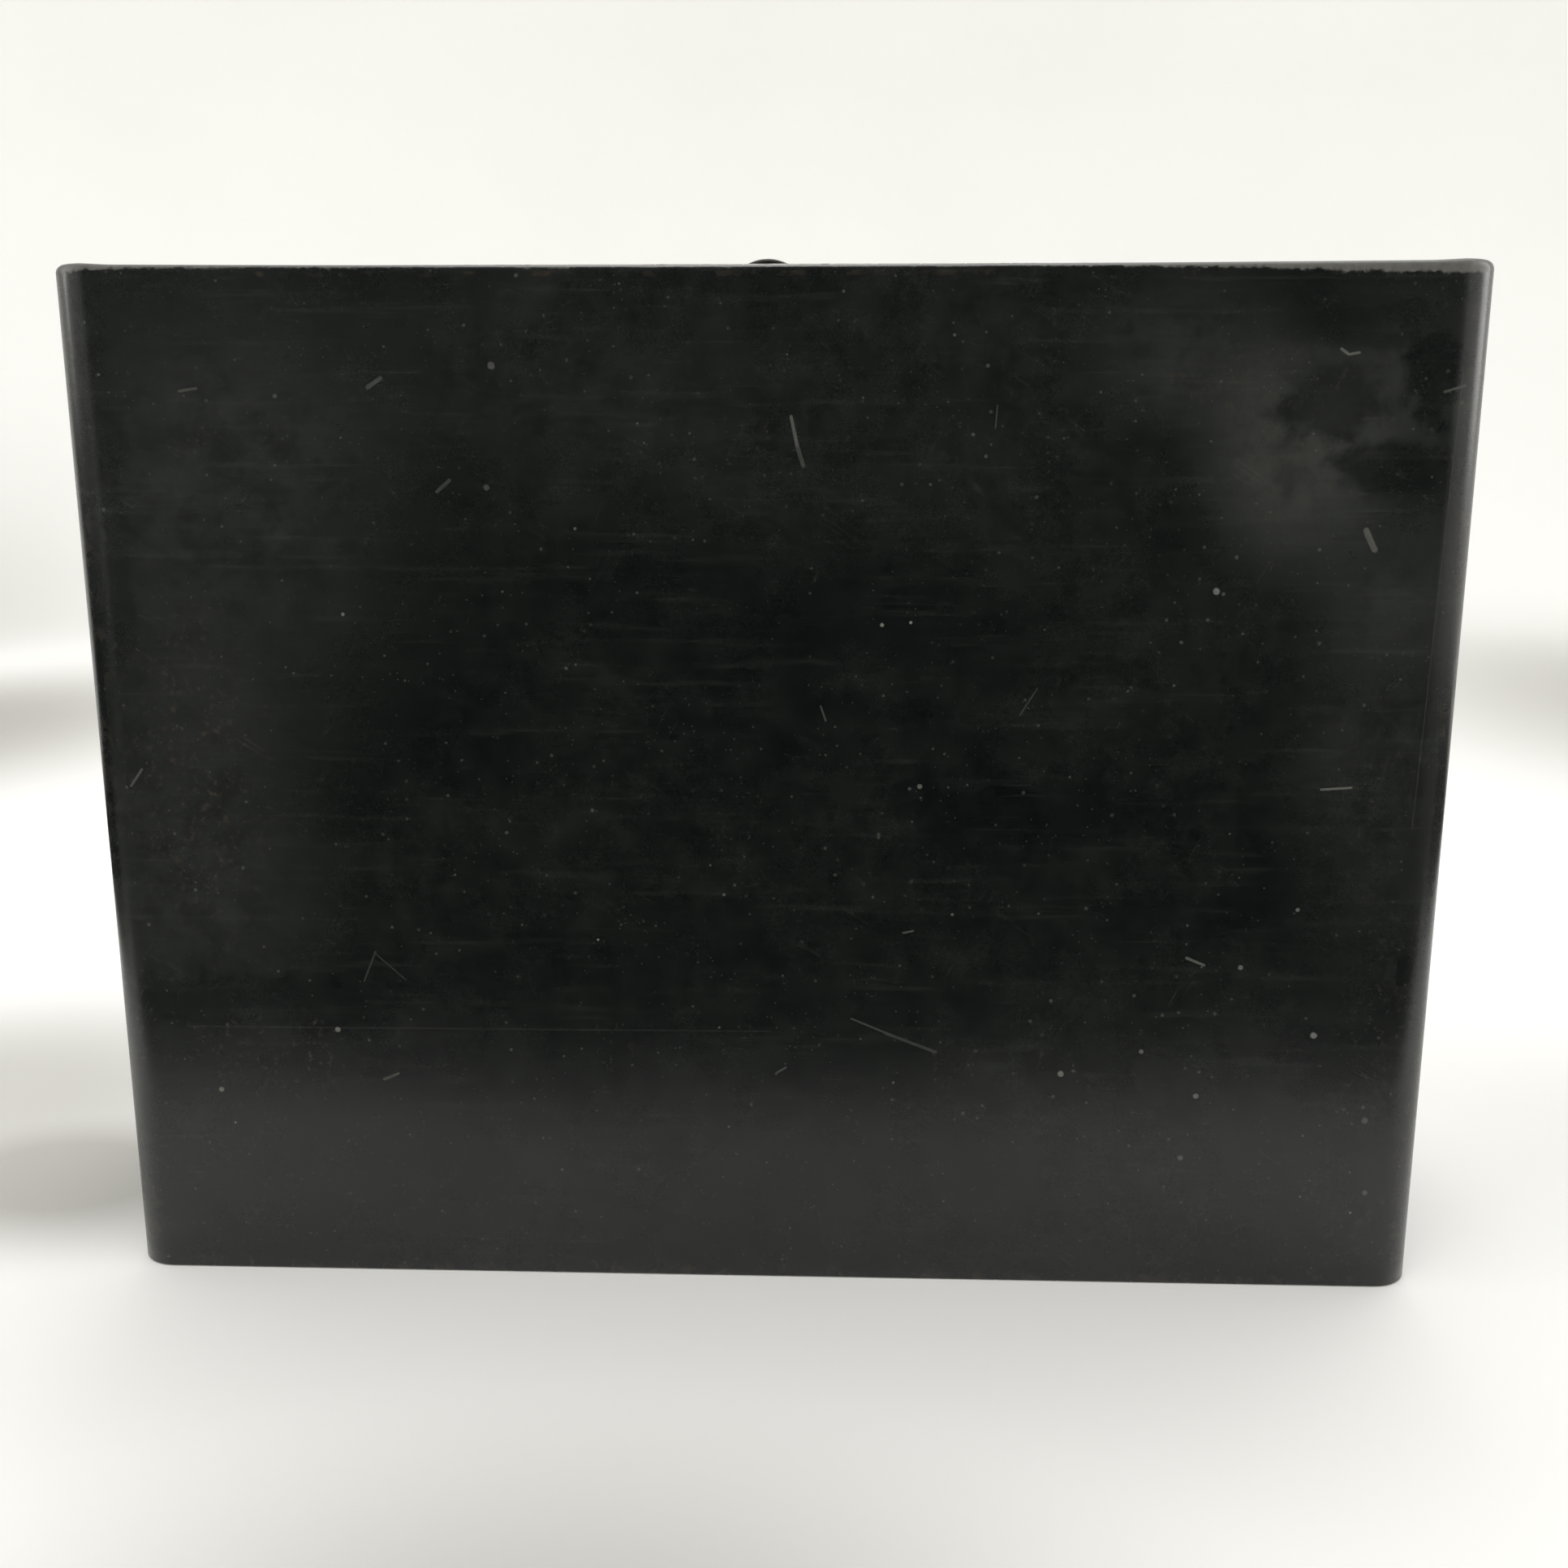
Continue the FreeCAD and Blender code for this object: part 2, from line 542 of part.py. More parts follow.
def pull_bail():
    """Bent rod: two short pivots, two arms and the grip, hanging from the lugs."""
    pivot_end = LUG_Y + LUG_HALF
    outline = [(pivot_end, 0), (BAIL_ARM, 0), (BAIL_ARM, -PULL_DROP),
               (-BAIL_ARM, -PULL_DROP), (-BAIL_ARM, 0), (-pivot_end, 0)]
    points = [V(END + PULL_OUT, y, PULL_Z + z) for y, z in outline]
    radii = [BAIL_TURN_IN, BAIL_TURN_LOW, BAIL_TURN_LOW, BAIL_TURN_IN]
    edges = []
    last = points[0]
    for before, corner, after, radius in zip(points, points[1:], points[2:], radii):
        back = (before - corner).normalize()
        on = (after - corner).normalize()
        start = corner + back * radius
        end = corner + on * radius
        middle = corner + (back + on) * radius * (1 - math.sqrt(0.5))
        edges.append(Part.LineSegment(last, start).toShape())
        edges.append(Part.Arc(start, middle, end).toShape())
        last = end
    edges.append(Part.LineSegment(last, points[-1]).toShape())
    section = Part.Wire([Part.Circle(points[0], Y_AXIS, BAIL_RADIUS).toShape()])
    return on_labelled_end(Part.Wire(edges).makePipeShell([section], True, True))


# ------------------------------------------------------------------ nodes
CASE_KNUCKLES = range(0, KNUCKLE_COUNT, 2)
LID_KNUCKLES = range(1, KNUCKLE_COUNT, 2)
SHEETS_AND_LEAF = SHEET + LEAF

NODES = {
    "case_shell": case_shell(),
    "base_pan": base_pan(),
    "seam_strip": seam_strip(),
    "end_ledge_left": end_ledge(-1),
    "end_ledge_right": end_ledge(1),
    "ledge_rivets": ledge_rivets(),
    "lid_bumpers": lid_bumpers(),
    "hinge_leaf_case": hinge_leaf(CASE_KNUCKLES, -MOUTH_Y, 1, CASE_RIVET_AT),
    "hinge_pin": hinge_pin(),
    "hinge_rivets_case": rivets(CASE_RIVET_AT, Y_AXIS, HINGE_RIVET, SHEETS_AND_LEAF),
    "strike_plate": strike_plate(),
    "strike_rivets": strike_rivets(),
    "label_holder": label_holder(),
    "label_holder_rivets": rivets(HOLDER_RIVET_AT, -X_AXIS, SMALL_RIVET, SHEET + HOLDER_SHEET),
    "pull_plate": pull_plate(),
    "pull_rivets": rivets(PULL_RIVET_AT, -X_AXIS, LEDGE_RIVET, SHEET + PLATE),
    "lid_panel": lid_panel(),
    "hinge_leaf_lid": hinge_leaf(LID_KNUCKLES, LID_REAR, -1, LID_RIVET_AT),
    "hinge_rivets_lid": rivets(LID_RIVET_AT, -Y_AXIS, HINGE_RIVET, SHEETS_AND_LEAF),
    "latch_rose": latch_rose(),
    "rose_rivets": rivets(ROSE_RIVET_AT, Z_AXIS, SMALL_RIVET, SHEET + PLATE),
    "thumb_turn": thumb_turn(),
    "latch_washer": latch_washer(),
    "spring_washer": spring_washer(),
    "latch_sleeve": latch_sleeve(),
    "latch_cam": latch_cam(),
    "latch_nut": latch_nut(),
    "pull_bail": pull_bail(),
    "label_card": label_card(),
}

os.makedirs("parts", exist_ok=True)
for name, shape in NODES.items():
    solids = len(shape.Solids)
    valid = all(solid.isValid() and solid.isClosed() for solid in shape.Solids)
    print(f"{name:20s} solids {solids:2d} volume {shape.Volume:10.1f} valid {valid}")
    shape.exportStep(f"parts/{name}.step")
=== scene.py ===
import json
import math

import bmesh
import bpy
import numpy as np
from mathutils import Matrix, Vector, noise

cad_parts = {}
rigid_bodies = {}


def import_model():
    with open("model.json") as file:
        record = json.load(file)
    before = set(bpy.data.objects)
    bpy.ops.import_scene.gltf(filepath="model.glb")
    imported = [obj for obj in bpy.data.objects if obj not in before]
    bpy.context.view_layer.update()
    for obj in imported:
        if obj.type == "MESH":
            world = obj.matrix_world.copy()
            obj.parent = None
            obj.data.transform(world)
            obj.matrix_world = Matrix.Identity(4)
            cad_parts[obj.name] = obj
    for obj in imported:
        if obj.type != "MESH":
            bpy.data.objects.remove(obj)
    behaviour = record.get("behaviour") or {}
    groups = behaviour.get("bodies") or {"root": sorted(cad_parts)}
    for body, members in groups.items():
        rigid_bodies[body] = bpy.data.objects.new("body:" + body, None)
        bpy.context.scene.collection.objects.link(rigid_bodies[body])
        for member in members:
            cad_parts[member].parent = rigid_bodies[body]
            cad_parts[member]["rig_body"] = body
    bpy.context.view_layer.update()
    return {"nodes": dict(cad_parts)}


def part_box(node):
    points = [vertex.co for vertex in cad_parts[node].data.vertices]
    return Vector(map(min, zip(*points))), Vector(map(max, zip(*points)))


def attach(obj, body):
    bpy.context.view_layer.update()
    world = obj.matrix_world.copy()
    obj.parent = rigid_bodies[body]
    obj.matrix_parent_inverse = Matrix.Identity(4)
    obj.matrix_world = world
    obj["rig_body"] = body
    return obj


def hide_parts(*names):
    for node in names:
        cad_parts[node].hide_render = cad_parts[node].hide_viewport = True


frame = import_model()
nodes = frame["nodes"]

# ----------------------------------------------
# Camera. It stands in front of the plain hinge side, a little right of the middle and a little
# lower than the rim, and looks slightly down.
MM = 0.001
wall_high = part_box("case_shell")[1]
box_half_x = wall_high[0] / MM
box_half_y = wall_high[1] / MM
box_height = wall_high[2] / MM


def put(name, data):
    """A new object in the scene, made of data."""
    made = bpy.data.objects.new(name, data)
    bpy.context.collection.objects.link(made)
    return made


CAMERA_PLACE = (17.8, -(box_half_y + 375.0), 213.1)     # mm
CAMERA_LENS = 36.72
CAMERA_DOWN = 12.49         # degrees below level
CAMERA_LEFT = 1.99          # degrees turned to the left

camera_data = bpy.data.cameras.new("camera")
camera_data.lens = CAMERA_LENS
camera_data.sensor_width = 36.0
camera_data.clip_start = 0.01
camera = put("camera", camera_data)
camera.location = [part * MM for part in CAMERA_PLACE]
camera.rotation_euler = (math.radians(90 - CAMERA_DOWN), 0.0, math.radians(CAMERA_LEFT))
bpy.context.scene.camera = camera
bpy.context.scene.view_settings.view_transform = "Standard"


# ----------------------------------------------
# Paper sweep that the box stands on: a pale sheet, flat under the box and curving up all round.
# The tools for shaders are made here, because the sweep is the first thing to need them.
class Value:
    """A socket of a node tree. Arithmetic on it adds the Math nodes that it needs."""

    def __init__(self, tree, socket):
        self.tree = tree
        self.socket = socket

    def math(self, operation, *others):
        sockets = {0: self}
        sockets.update({i + 1: other for i, other in enumerate(others)})
        return self.tree.add("ShaderNodeMath", {"operation": operation}, sockets)

    def __add__(self, other):
        return self.math("ADD", other)

    def __sub__(self, other):
        return self.math("SUBTRACT", other)

    def __rsub__(self, other):
        return (self * -1.0) + other

    def __mul__(self, other):
        return self.math("MULTIPLY", other)

    def __abs__(self):
        return self.math("ABSOLUTE")

    __radd__ = __add__
    __rmul__ = __mul__

    def most(self, other):
        return self.math("MAXIMUM", other)

    def least(self, other):
        return self.math("MINIMUM", other)

    def step(self, start, end, low=0.0, high=1.0):
        """Smooth change from low to high as the value goes from start to end."""
        sockets = {"Value": self, "From Min": start, "From Max": end, "To Min": low, "To Max": high}
        return self.tree.add("ShaderNodeMapRange", {"interpolation_type": "SMOOTHSTEP"}, sockets)


class Tree:
    """A node tree that is built one node at a time."""

    def __init__(self, nodes_and_links):
        self.tree = nodes_and_links

    def add(self, kind, settings, sockets, out=0):
        node = self.tree.nodes.new(kind)
        for key, value in settings.items():
            setattr(node, key, value)
        for key, value in sockets.items():
            if isinstance(value, Value):
                self.tree.links.new(value.socket, node.inputs[key])
            else:
                node.inputs[key].default_value = value
        return Value(self, node.outputs[out]) if node.outputs else None

    def part(self, vector, axis):
        return self.add("ShaderNodeSeparateXYZ", {}, {0: vector}, axis)

    def xyz(self, **parts):
        """Vector made of X, Y and Z."""
        return self.add("ShaderNodeCombineXYZ", {}, parts)

    def vector(self, operation, first, second=None, **sockets):
        inputs = {0: first, **sockets}
        if second is not None:
            inputs[1] = second
        out = "Value" if operation in ("DOT_PRODUCT", "LENGTH", "DISTANCE") else 0
        return self.add("ShaderNodeVectorMath", {"operation": operation}, inputs, out)


class Finish(Tree):
    """One material. Places in it are in millimetres on the object."""

    def __init__(self, name):
        self.material = bpy.data.materials.new(name)
        self.material.use_nodes = True
        super().__init__(self.material.node_tree)
        self.tree.nodes.clear()
        spot = self.add("ShaderNodeTexCoord", {}, {}, "Object")
        self.place = self.vector("SCALE", spot, Scale=1 / MM)
        self.x = self.part(self.place, "X")
        self.y = self.part(self.place, "Y")
        self.z = self.part(self.place, "Z")

    def noise(self, size, seed=0.0, detail=3.0, rough=0.55, stretch=(1, 1, 1)):
        """Noise from 0 to 1 whose lumps are about size millimetres across."""
        spot = self.vector("MULTIPLY", self.place, stretch)
        spot = self.vector("ADD", spot, (seed * 131.0, seed * 57.0, seed * 89.0))
        sockets = {"Vector": spot, "Scale": 1.0 / size, "Detail": detail, "Roughness": rough}
        return self.add("ShaderNodeTexNoise", {}, sockets)

    def cells(self, size, seed=0.0):
        """Distance from scattered points about size millimetres apart, in cell widths."""
        spot = self.vector("ADD", self.place, (seed * 37.0, seed * 71.0, seed * 113.0))
        sockets = {"Vector": spot, "Scale": 1.0 / size}
        return self.add("ShaderNodeTexVoronoi", {}, sockets, "Distance")

    def mix(self, amount, first, second):
        """Colour that goes from first to second as amount goes from 0 to 1."""
        first = first if isinstance(first, Value) else (*first, 1.0)
        second = second if isinstance(second, Value) else (*second, 1.0)
        sockets = {"Factor": amount, 6: first, 7: second}
        return self.add("ShaderNodeMix", {"data_type": "RGBA"}, sockets, 2)

    def streaks(self, angle, seed):
        """Hairlines that run at an angle, in degrees, across faces that look along Y."""
        along = (math.cos(math.radians(angle)), 0, math.sin(math.radians(angle)))
        across = (-along[2], 0, along[0])
        run = self.vector("DOT_PRODUCT", self.place, along) * 0.045
        side = self.vector("DOT_PRODUCT", self.place, across)
        spot = self.xyz(X=run + seed * 17.0, Y=self.y * 0.2, Z=side)
        wave = self.add("ShaderNodeTexNoise", {}, {"Vector": spot, "Scale": 0.28, "Detail": 2.0})
        broken = self.noise(16.0, seed + 40.0, detail=3.0).step(0.6, 0.7)
        return abs(wave - 0.5).step(0.010, 0.003) * broken

    def bump(self, height, depth):
        """Normal of a surface raised by height, where 1 stands for depth millimetres."""
        return self.add("ShaderNodeBump", {}, {"Height": height * (depth * MM), "Distance": 1.0})

    def edges(self, node, reach):
        """1 along the outer edges of a piece's box, fading out over reach millimetres."""
        low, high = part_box(node)
        near = []
        for value, start, end in zip((self.x, self.y, self.z), low / MM, high / MM):
            half = (end - start) / 2
            away = abs(value - (start + end) / 2)
            near.append(away.step(half - reach, half - reach * 0.3))
        x, y, z = near
        return (x * y).most(y * z).most(x * z)

    def oval(self, spot, centre, shares):
        """Distance from an oval's centre, 1 on its outline. shares are 1 / its half widths."""
        near = self.vector("MULTIPLY", self.vector("SUBTRACT", spot, centre), shares)
        return self.vector("LENGTH", near)

    def close(self, **sockets):
        """Adds the shader itself, with sockets given by their names with _ for a space."""
        inputs = {key.replace("_", " "): value for key, value in sockets.items()}
        shader = self.add("ShaderNodeBsdfPrincipled", {}, inputs)
        self.add("ShaderNodeOutputMaterial", {}, {"Surface": shader})
        return self.material


PAINTED_SHADES = [  # x, y, half width, half depth, strength: painted shade on the sweep, standing in for soft shadows of things beside it and of the box itself, mm
    (-640, 700, 300, 440, 1),
    (-1000, 1300, 330, 520, 0.4),
    (-260, 60, 180, 135, 0.8),
    (-200, -8, 75, 55, 0.8),
    (720, 800, 480, 760, 0.9),
    (300, 30, 170, 170, 0.4),
    (-30, -190, 150, 95, 0.75),
]


def sweep_paper():
    paper = Finish("sweep_paper")
    fibre = paper.noise(4.0, detail=5.0)
    stain = paper.noise(500.0, 2.0, detail=2.0)
    shade = stain.step(0.35, 0.75) * 0.05
    # Painted shade: the paper's colour is darkened in these ovals in place of real shadows.
    for x, y, wide, deep, strength in PAINTED_SHADES:
        near = paper.oval(paper.place, (x, y, 0), (1 / wide, 1 / deep, 0))
        shade = near.step(1.0, 0.1, 0.0, strength) + shade
    colour = paper.mix(shade.least(1.0), (0.93, 0.925, 0.90), (0.46, 0.45, 0.42))
    return paper.close(Base_Color=colour, Roughness=0.9, Specular_IOR_Level=0.2,
                       Normal=paper.bump(fibre, 0.05))


SWEEP_FLAT = 1.5
SWEEP_CURVE = 0.7
SWEEP_TOP = 1.3
rings = [(0.02, 0.0), (0.3, 0.0), (0.8, 0.0), (SWEEP_FLAT, 0.0)]
rings += [(SWEEP_FLAT + SWEEP_CURVE * math.sin(a), SWEEP_CURVE * (1 - math.cos(a)))
          for a in np.linspace(0.1, math.pi / 2, 14)]
rings.append((SWEEP_FLAT + SWEEP_CURVE, SWEEP_TOP))
SWEEP_LOW = 0.0002          # how far under the box the paper lies
TURNS = 96


def new_mesh(name, verts, faces):
    data = bpy.data.meshes.new(name)
    data.from_pydata(verts, [], faces)
    return data


verts = [(radius * math.cos(2 * math.pi * i / TURNS), radius * math.sin(2 * math.pi * i / TURNS),
          z - SWEEP_LOW) for radius, z in rings for i in range(TURNS)]
faces = [tuple(range(TURNS))]
for inner in range(0, len(verts) - TURNS, TURNS):
    outer = inner + TURNS
    for i in range(TURNS):
        j = (i + 1) % TURNS
        faces.append((inner + i, outer + i, outer + j, inner + j))
data = new_mesh("sweep", verts, faces)
data.shade_smooth()
data.materials.append(sweep_paper())
sweep = put("sweep", data)

# ----------------------------------------------
# Light: a bright even sky over the sweep, a large soft lamp above and behind the box, and a
# window at each side. The room in front of the box is dark, and only reflections show it.
world = bpy.data.worlds.new("studio")
bpy.context.scene.world = world
world.use_nodes = True
world.node_tree.nodes["Background"].inputs["Color"].default_value = (1.0, 0.997, 0.985, 1.0)
world.node_tree.nodes["Background"].inputs["Strength"].default_value = 0.99


def lamp(name, power, size, place, aim, colour=(1, 1, 1), lights=True, mirrored=True):
    """Soft lamp. It may be one that only lights surfaces, or one that only reflections show."""
    data = bpy.data.lights.new(name, "AREA")
    data.shape = "RECTANGLE"
    data.size, data.size_y = size
    data.energy = power
    data.color = colour
    made = put(name, data)
    made.location = place
    made.rotation_euler = (Vector(aim) - Vector(place)).to_track_quat("-Z", "Y").to_euler()
    made.visible_camera = False
    made.visible_diffuse = lights
    made.visible_glossy = mirrored


HEART = (0, 0, 0.12)
lamp("overhead", 8.0, (1.3, 0.8), (0.15, 0.62, 1.45), HEART)
lamp("front_fill", 4.0, (1.0, 0.6), (-0.3, -0.9, 1.1), (-0.05, -0.1, 0), mirrored=False)
lamp("window_right", 5.0, (0.5, 0.9), (1.15, 0.1, 0.62), HEART, (1.0, 0.99, 0.97), lights=False)
lamp("window_left", 2.2, (0.14, 0.7), (-1.15, -0.12, 0.62), HEART, (1.0, 0.97, 0.93), lights=False)


def dark_cards(name, strips):
    """Black cards that only reflections see. Each strip is a run of (x, y, z) pairs of corners."""
    card = Finish(name)
    shade = card.noise(300.0)
    material = card.close(Base_Color=card.mix(shade, (0.0, 0.0, 0.0), (0.006, 0.006, 0.006)),
                          Roughness=1.0, Specular_IOR_Level=0.0)
    verts = []
    faces = []
    for strip in strips:
        for left, right in strip:
            verts += [left, right]
        for i in range(len(strip) - 1):
            last = len(verts) - 2 * (len(strip) - i)
            faces.append((last, last + 1, last + 3, last + 2))
    data = new_mesh(name, verts, faces)
    data.materials.append(material)
    made = put(name, data)
    made.visible_camera = False
    made.visible_diffuse = False
    made.visible_shadow = False
    made.visible_transmission = False


ROOM_HALF = 1.1
ROOM_SECTION = [(-0.168, 0.001), (-1.35, 0.001), (-1.35, 1.1), (-0.9, 1.65), (-0.03, 1.85)]
dark_room = [((-ROOM_HALF, y, z), (ROOM_HALF, y, z)) for y, z in ROOM_SECTION]
CARD_RUN = (-1.35, 0.4)     # front and back of the cards at the sides
CARD_Z = 0.0012             # just over the sweep
CARD_FAR = 1.3
floor_left = [((-CARD_FAR, y, CARD_Z), (-0.42, y, CARD_Z)) for y in CARD_RUN]
wall_left = [((-CARD_FAR, y, 0.0), (-CARD_FAR, y, 0.23)) for y in CARD_RUN]
floor_right = [((0.5, y, CARD_Z), (CARD_FAR, y, CARD_Z)) for y in CARD_RUN]
dark_cards("dark_room", [dark_room, floor_left, wall_left, floor_right])


# ----------------------------------------------
# Case wall: one sheet of 1 mm steel wrapped into a rounded tube, with its shoulder rolled over
# into the rim and turned down inside the mouth. Old enamelled sheet is never quite flat: the
# walls waver, the rim sags between the corners, and knocks have left shallow dents.
SHEET = 1.0
SHOULDER = 2.0
CORNER = 10.0
RIM = 11.0
MOUTH_CORNER = 4.0
LIP_DROP = 8.0
LIP_BEND = 1.5
BREAK = 0.15                # how far the sheet's sheared edges are broken
FOOT_BREAK = 0.3
SEAM_HALF = 0.27            # half width and depth of the groove where the wall's ends butt
SEAM_DEEP = 0.45


def arc(centre, radius, start, end, steps):
    """Points of an arc, angles in degrees from the +d direction."""
    angles = np.radians(np.linspace(start, end, steps + 1))
    return [(centre[0] + radius * math.cos(a), centre[1] + radius * math.sin(a)) for a in angles]


def wall_section():
    """The sheet's closed section: distance in from the outer face, and height."""
    top = box_height
    points = [(0.75, 0.0), (FOOT_BREAK, 0.0), (0.1, 0.1)]
    points += [(0.0, z) for z in np.linspace(FOOT_BREAK, top - SHOULDER, 50)]
    points += arc((SHOULDER, top - SHOULDER), SHOULDER, 180, 90, 9)[1:]
    points += [(d, top) for d in np.linspace(SHOULDER, RIM - LIP_BEND, 5)[1:]]
    points += arc((RIM - LIP_BEND, top - LIP_BEND), LIP_BEND, 90, 0, 6)[1:]
    points += [(RIM, top - LIP_DROP + 2.0), (RIM, top - LIP_DROP + BREAK)]
    points += [(RIM - BREAK, top - LIP_DROP), (RIM - SHEET + BREAK, top - LIP_DROP)]
    points += [(RIM - SHEET, top - LIP_DROP + BREAK), (RIM - SHEET, top - LIP_BEND)]
    points += [(RIM - SHEET - BREAK, top - SHEET - BREAK), (RIM - LIP_BEND, top - SHEET)]
    points += [(d, top - SHEET) for d in np.linspace(RIM - LIP_BEND, SHOULDER, 4)[1:]]
    points += arc((SHOULDER, top - SHOULDER), SHOULDER - SHEET, 90, 180, 5)[1:]
    points += [(SHEET, z) for z in np.linspace(top - SHOULDER, FOOT_BREAK, 26)[1:]]
    return points


def plan_outline(inset):
    """The rounded rectangle at one distance in from the outer face, anticlockwise."""
    if inset <= SHOULDER:
        corner = CORNER - inset
    else:
        share = (inset - SHOULDER) / (RIM - SHOULDER)
        corner = (CORNER - SHOULDER) * (1 - share) + MOUTH_CORNER * share
    half_x = box_half_x - inset - corner
    half_y = box_half_y - inset - corner
    along = np.linspace(-1, 1, 61)[1:-1]
    across = np.linspace(-1, 1, 15)[1:-1]
    seam = np.array([-0.3, -0.25, 0.25, 0.3])
    across_seam = np.sort(np.append(across[np.abs(across) > 0.05], seam / half_y))
    far_x = half_x + corner
    far_y = half_y + corner
    sides = ((1, 1, [(-t * half_x, far_y) for t in along]),
             (-1, 1, [(-far_x, -t * half_y) for t in across]),
             (-1, -1, [(t * half_x, -far_y) for t in along]),
             (1, -1, [(far_x, t * half_y) for t in across_seam]))
    points = []
    for i, (x_sign, y_sign, side) in enumerate(sides):
        centre = (x_sign * half_x, y_sign * half_y)
        points += arc(centre, corner, 90 * i, 90 * i + 90, 10) + side
    return points


SAG = 0.55                  # of the rim, halfway along each side
SAG_REACH = 60.0            # how far down the wall it is felt
PROUD = 0.3                 # how far the rim's corners stand over its ends
WAVER_SIDE = 0.55           # greatest wave of the sides and of the ends, and their spacing
WAVER_END = 0.4
WAVE_SIDE = 75.0
WAVE_END = 60.0
SIDE_FACE = 45.0            # past this |y| a point is on a side, past END_FACE in |x| on an end
END_FACE = 160.0
DENTS = [  # x, z, radius and depth on the hinge side, mm
    (152, 238, 5, 0.25),
    (104, 176, 4, 0.12),
    (-88, 222, 9, 0.15),
    (38, 130, 7, 0.12),
    (132, 206, 22, 0.3),
    (-140, 150, 26, 0.3),
]


def smooth(value, start, end):
    t = min(max((value - start) / (end - start), 0.0), 1.0)
    return t * t * (3 - 2 * t)


def worn_place(x, y, z, inset):
    """Where a point of the ideal wall has ended up, mm."""
    centre_x = 1 - min(abs(x) / (box_half_x - CORNER), 1.0)
    centre_y = 1 - min(abs(y) / (box_half_y - CORNER), 1.0)
    outer = 1 - smooth(inset, SHOULDER, RIM - LIP_BEND)
    span = 1 - (x / (box_half_x - CORNER)) ** 2
    sag = SAG * max(span, 0.0) * smooth(z, box_height - SAG_REACH, box_height) * outer
    proud = PROUD * smooth(abs(x), box_half_x - 14.0, box_half_x - 8.0) * outer
    dz = proud * smooth(z, box_height - 20.0, box_height) - sag
    hold = smooth(z, 0.0, 30.0) * smooth(box_height - z, 4.0, 40.0)
    dx = dy = 0.0
    if abs(y) > SIDE_FACE:
        spot = Vector((x / WAVE_SIDE, 3.0 + math.copysign(5.0, y), z / WAVE_SIDE))
        dy = math.copysign(WAVER_SIDE * noise.noise(spot) * hold * smooth(centre_x, 0.0, 0.25), y)
    if abs(x) > END_FACE:
        spot = Vector((9.0 + math.copysign(5.0, x), y / WAVE_END, z / WAVE_SIDE))
        dx = math.copysign(WAVER_END * noise.noise(spot) * hold * smooth(centre_y, 0.0, 0.4), x)
    if y < -SIDE_FACE:
        for dent_x, dent_z, radius, depth in DENTS:
            away = ((x - dent_x) ** 2 + (z - dent_z) ** 2) / radius ** 2
            dy += depth * math.exp(-away)
    return x + dx, y + dy, z + dz


def shaded(data, sharp):
    """Smooth shading, but for edges sharper than an angle in degrees."""
    data.shade_smooth()
    data.set_sharp_from_angle(angle=math.radians(sharp))
    return data


def wall_mesh():
    section = wall_section()
    verts = []
    for inset, z in section:
        for x, y in plan_outline(inset):
            if x > 0 and inset < 0.05 and abs(y) < SEAM_HALF and z < box_height - SHOULDER:
                x -= SEAM_DEEP
            x, y, z_worn = worn_place(x, y, z, inset)
            verts.append((x * MM, y * MM, z_worn * MM))
    count = len(verts) // len(section)
    faces = []
    for ring in range(len(section)):
        above = (ring + 1) % len(section)
        for i in range(count):
            j = (i + 1) % count
            faces.append((ring * count + i, ring * count + j, above * count + j, above * count + i))
    data = new_mesh("case_wall", verts, faces)
    return shaded(data, 50)


# Flaws of the paint on the hinge side, listed in millimetres along and up the face.
SCRATCHES = [  # x and z of both ends, half width, strength
    (6.4, 216, 7.8, 209.5, 0.5, 0.42),
    (7.8, 209.5, 9.2, 205, 0.6, 0.24),
    (21.5, 70.5, 31, 66.5, 0.3, 0.24),
    (30, 66.8, 42.5, 62, 0.5, 0.17),
    (132.5, 129.6, 139.5, 130.1, 0.35, 0.56),
    (129.8, 230.8, 131.5, 229.6, 0.4, 0.5),
    (131.5, 229.6, 133.8, 230, 0.35, 0.5),
    (138.4, 190.5, 140.6, 186.2, 0.9, 0.37),
    (103, 87.3, 107.3, 85.5, 0.4, 0.5),
    (-100, 78.8, -96.7, 86.6, 0.25, 0.17),
    (-97, 86.3, -89.5, 79.3, 0.2, 0.14),
    (-96.3, 52.8, -92.6, 54.4, 0.4, 0.31),
    (34, 92.9, 36.3, 93.4, 0.3, 0.37),
    (13.5, 149, 14.7, 145.5, 0.25, 0.31),
    (53.3, 218.5, 53, 213.5, 0.2, 0.22),
    (-154.6, 128.3, -151.6, 132.4, 0.4, 0.31),
    (-91, 222.6, -88, 224.6, 0.6, 0.25),
    (-76, 199, -73, 201.6, 0.5, 0.22),
    (3, 56, 5.2, 57.4, 0.3, 0.31),
    (-135, 221.8, -131, 222.4, 0.4, 0.25),
    (-146, 66.3, 1.5, 66.9, 0.25, 0.06),
    (157.3, 226, 154.6, 120, 0.2, 0.1),
    (60.6, 147, 64.5, 153.5, 0.2, 0.19),
    (153.4, 221.4, 158, 222.8, 0.35, 0.31),
]
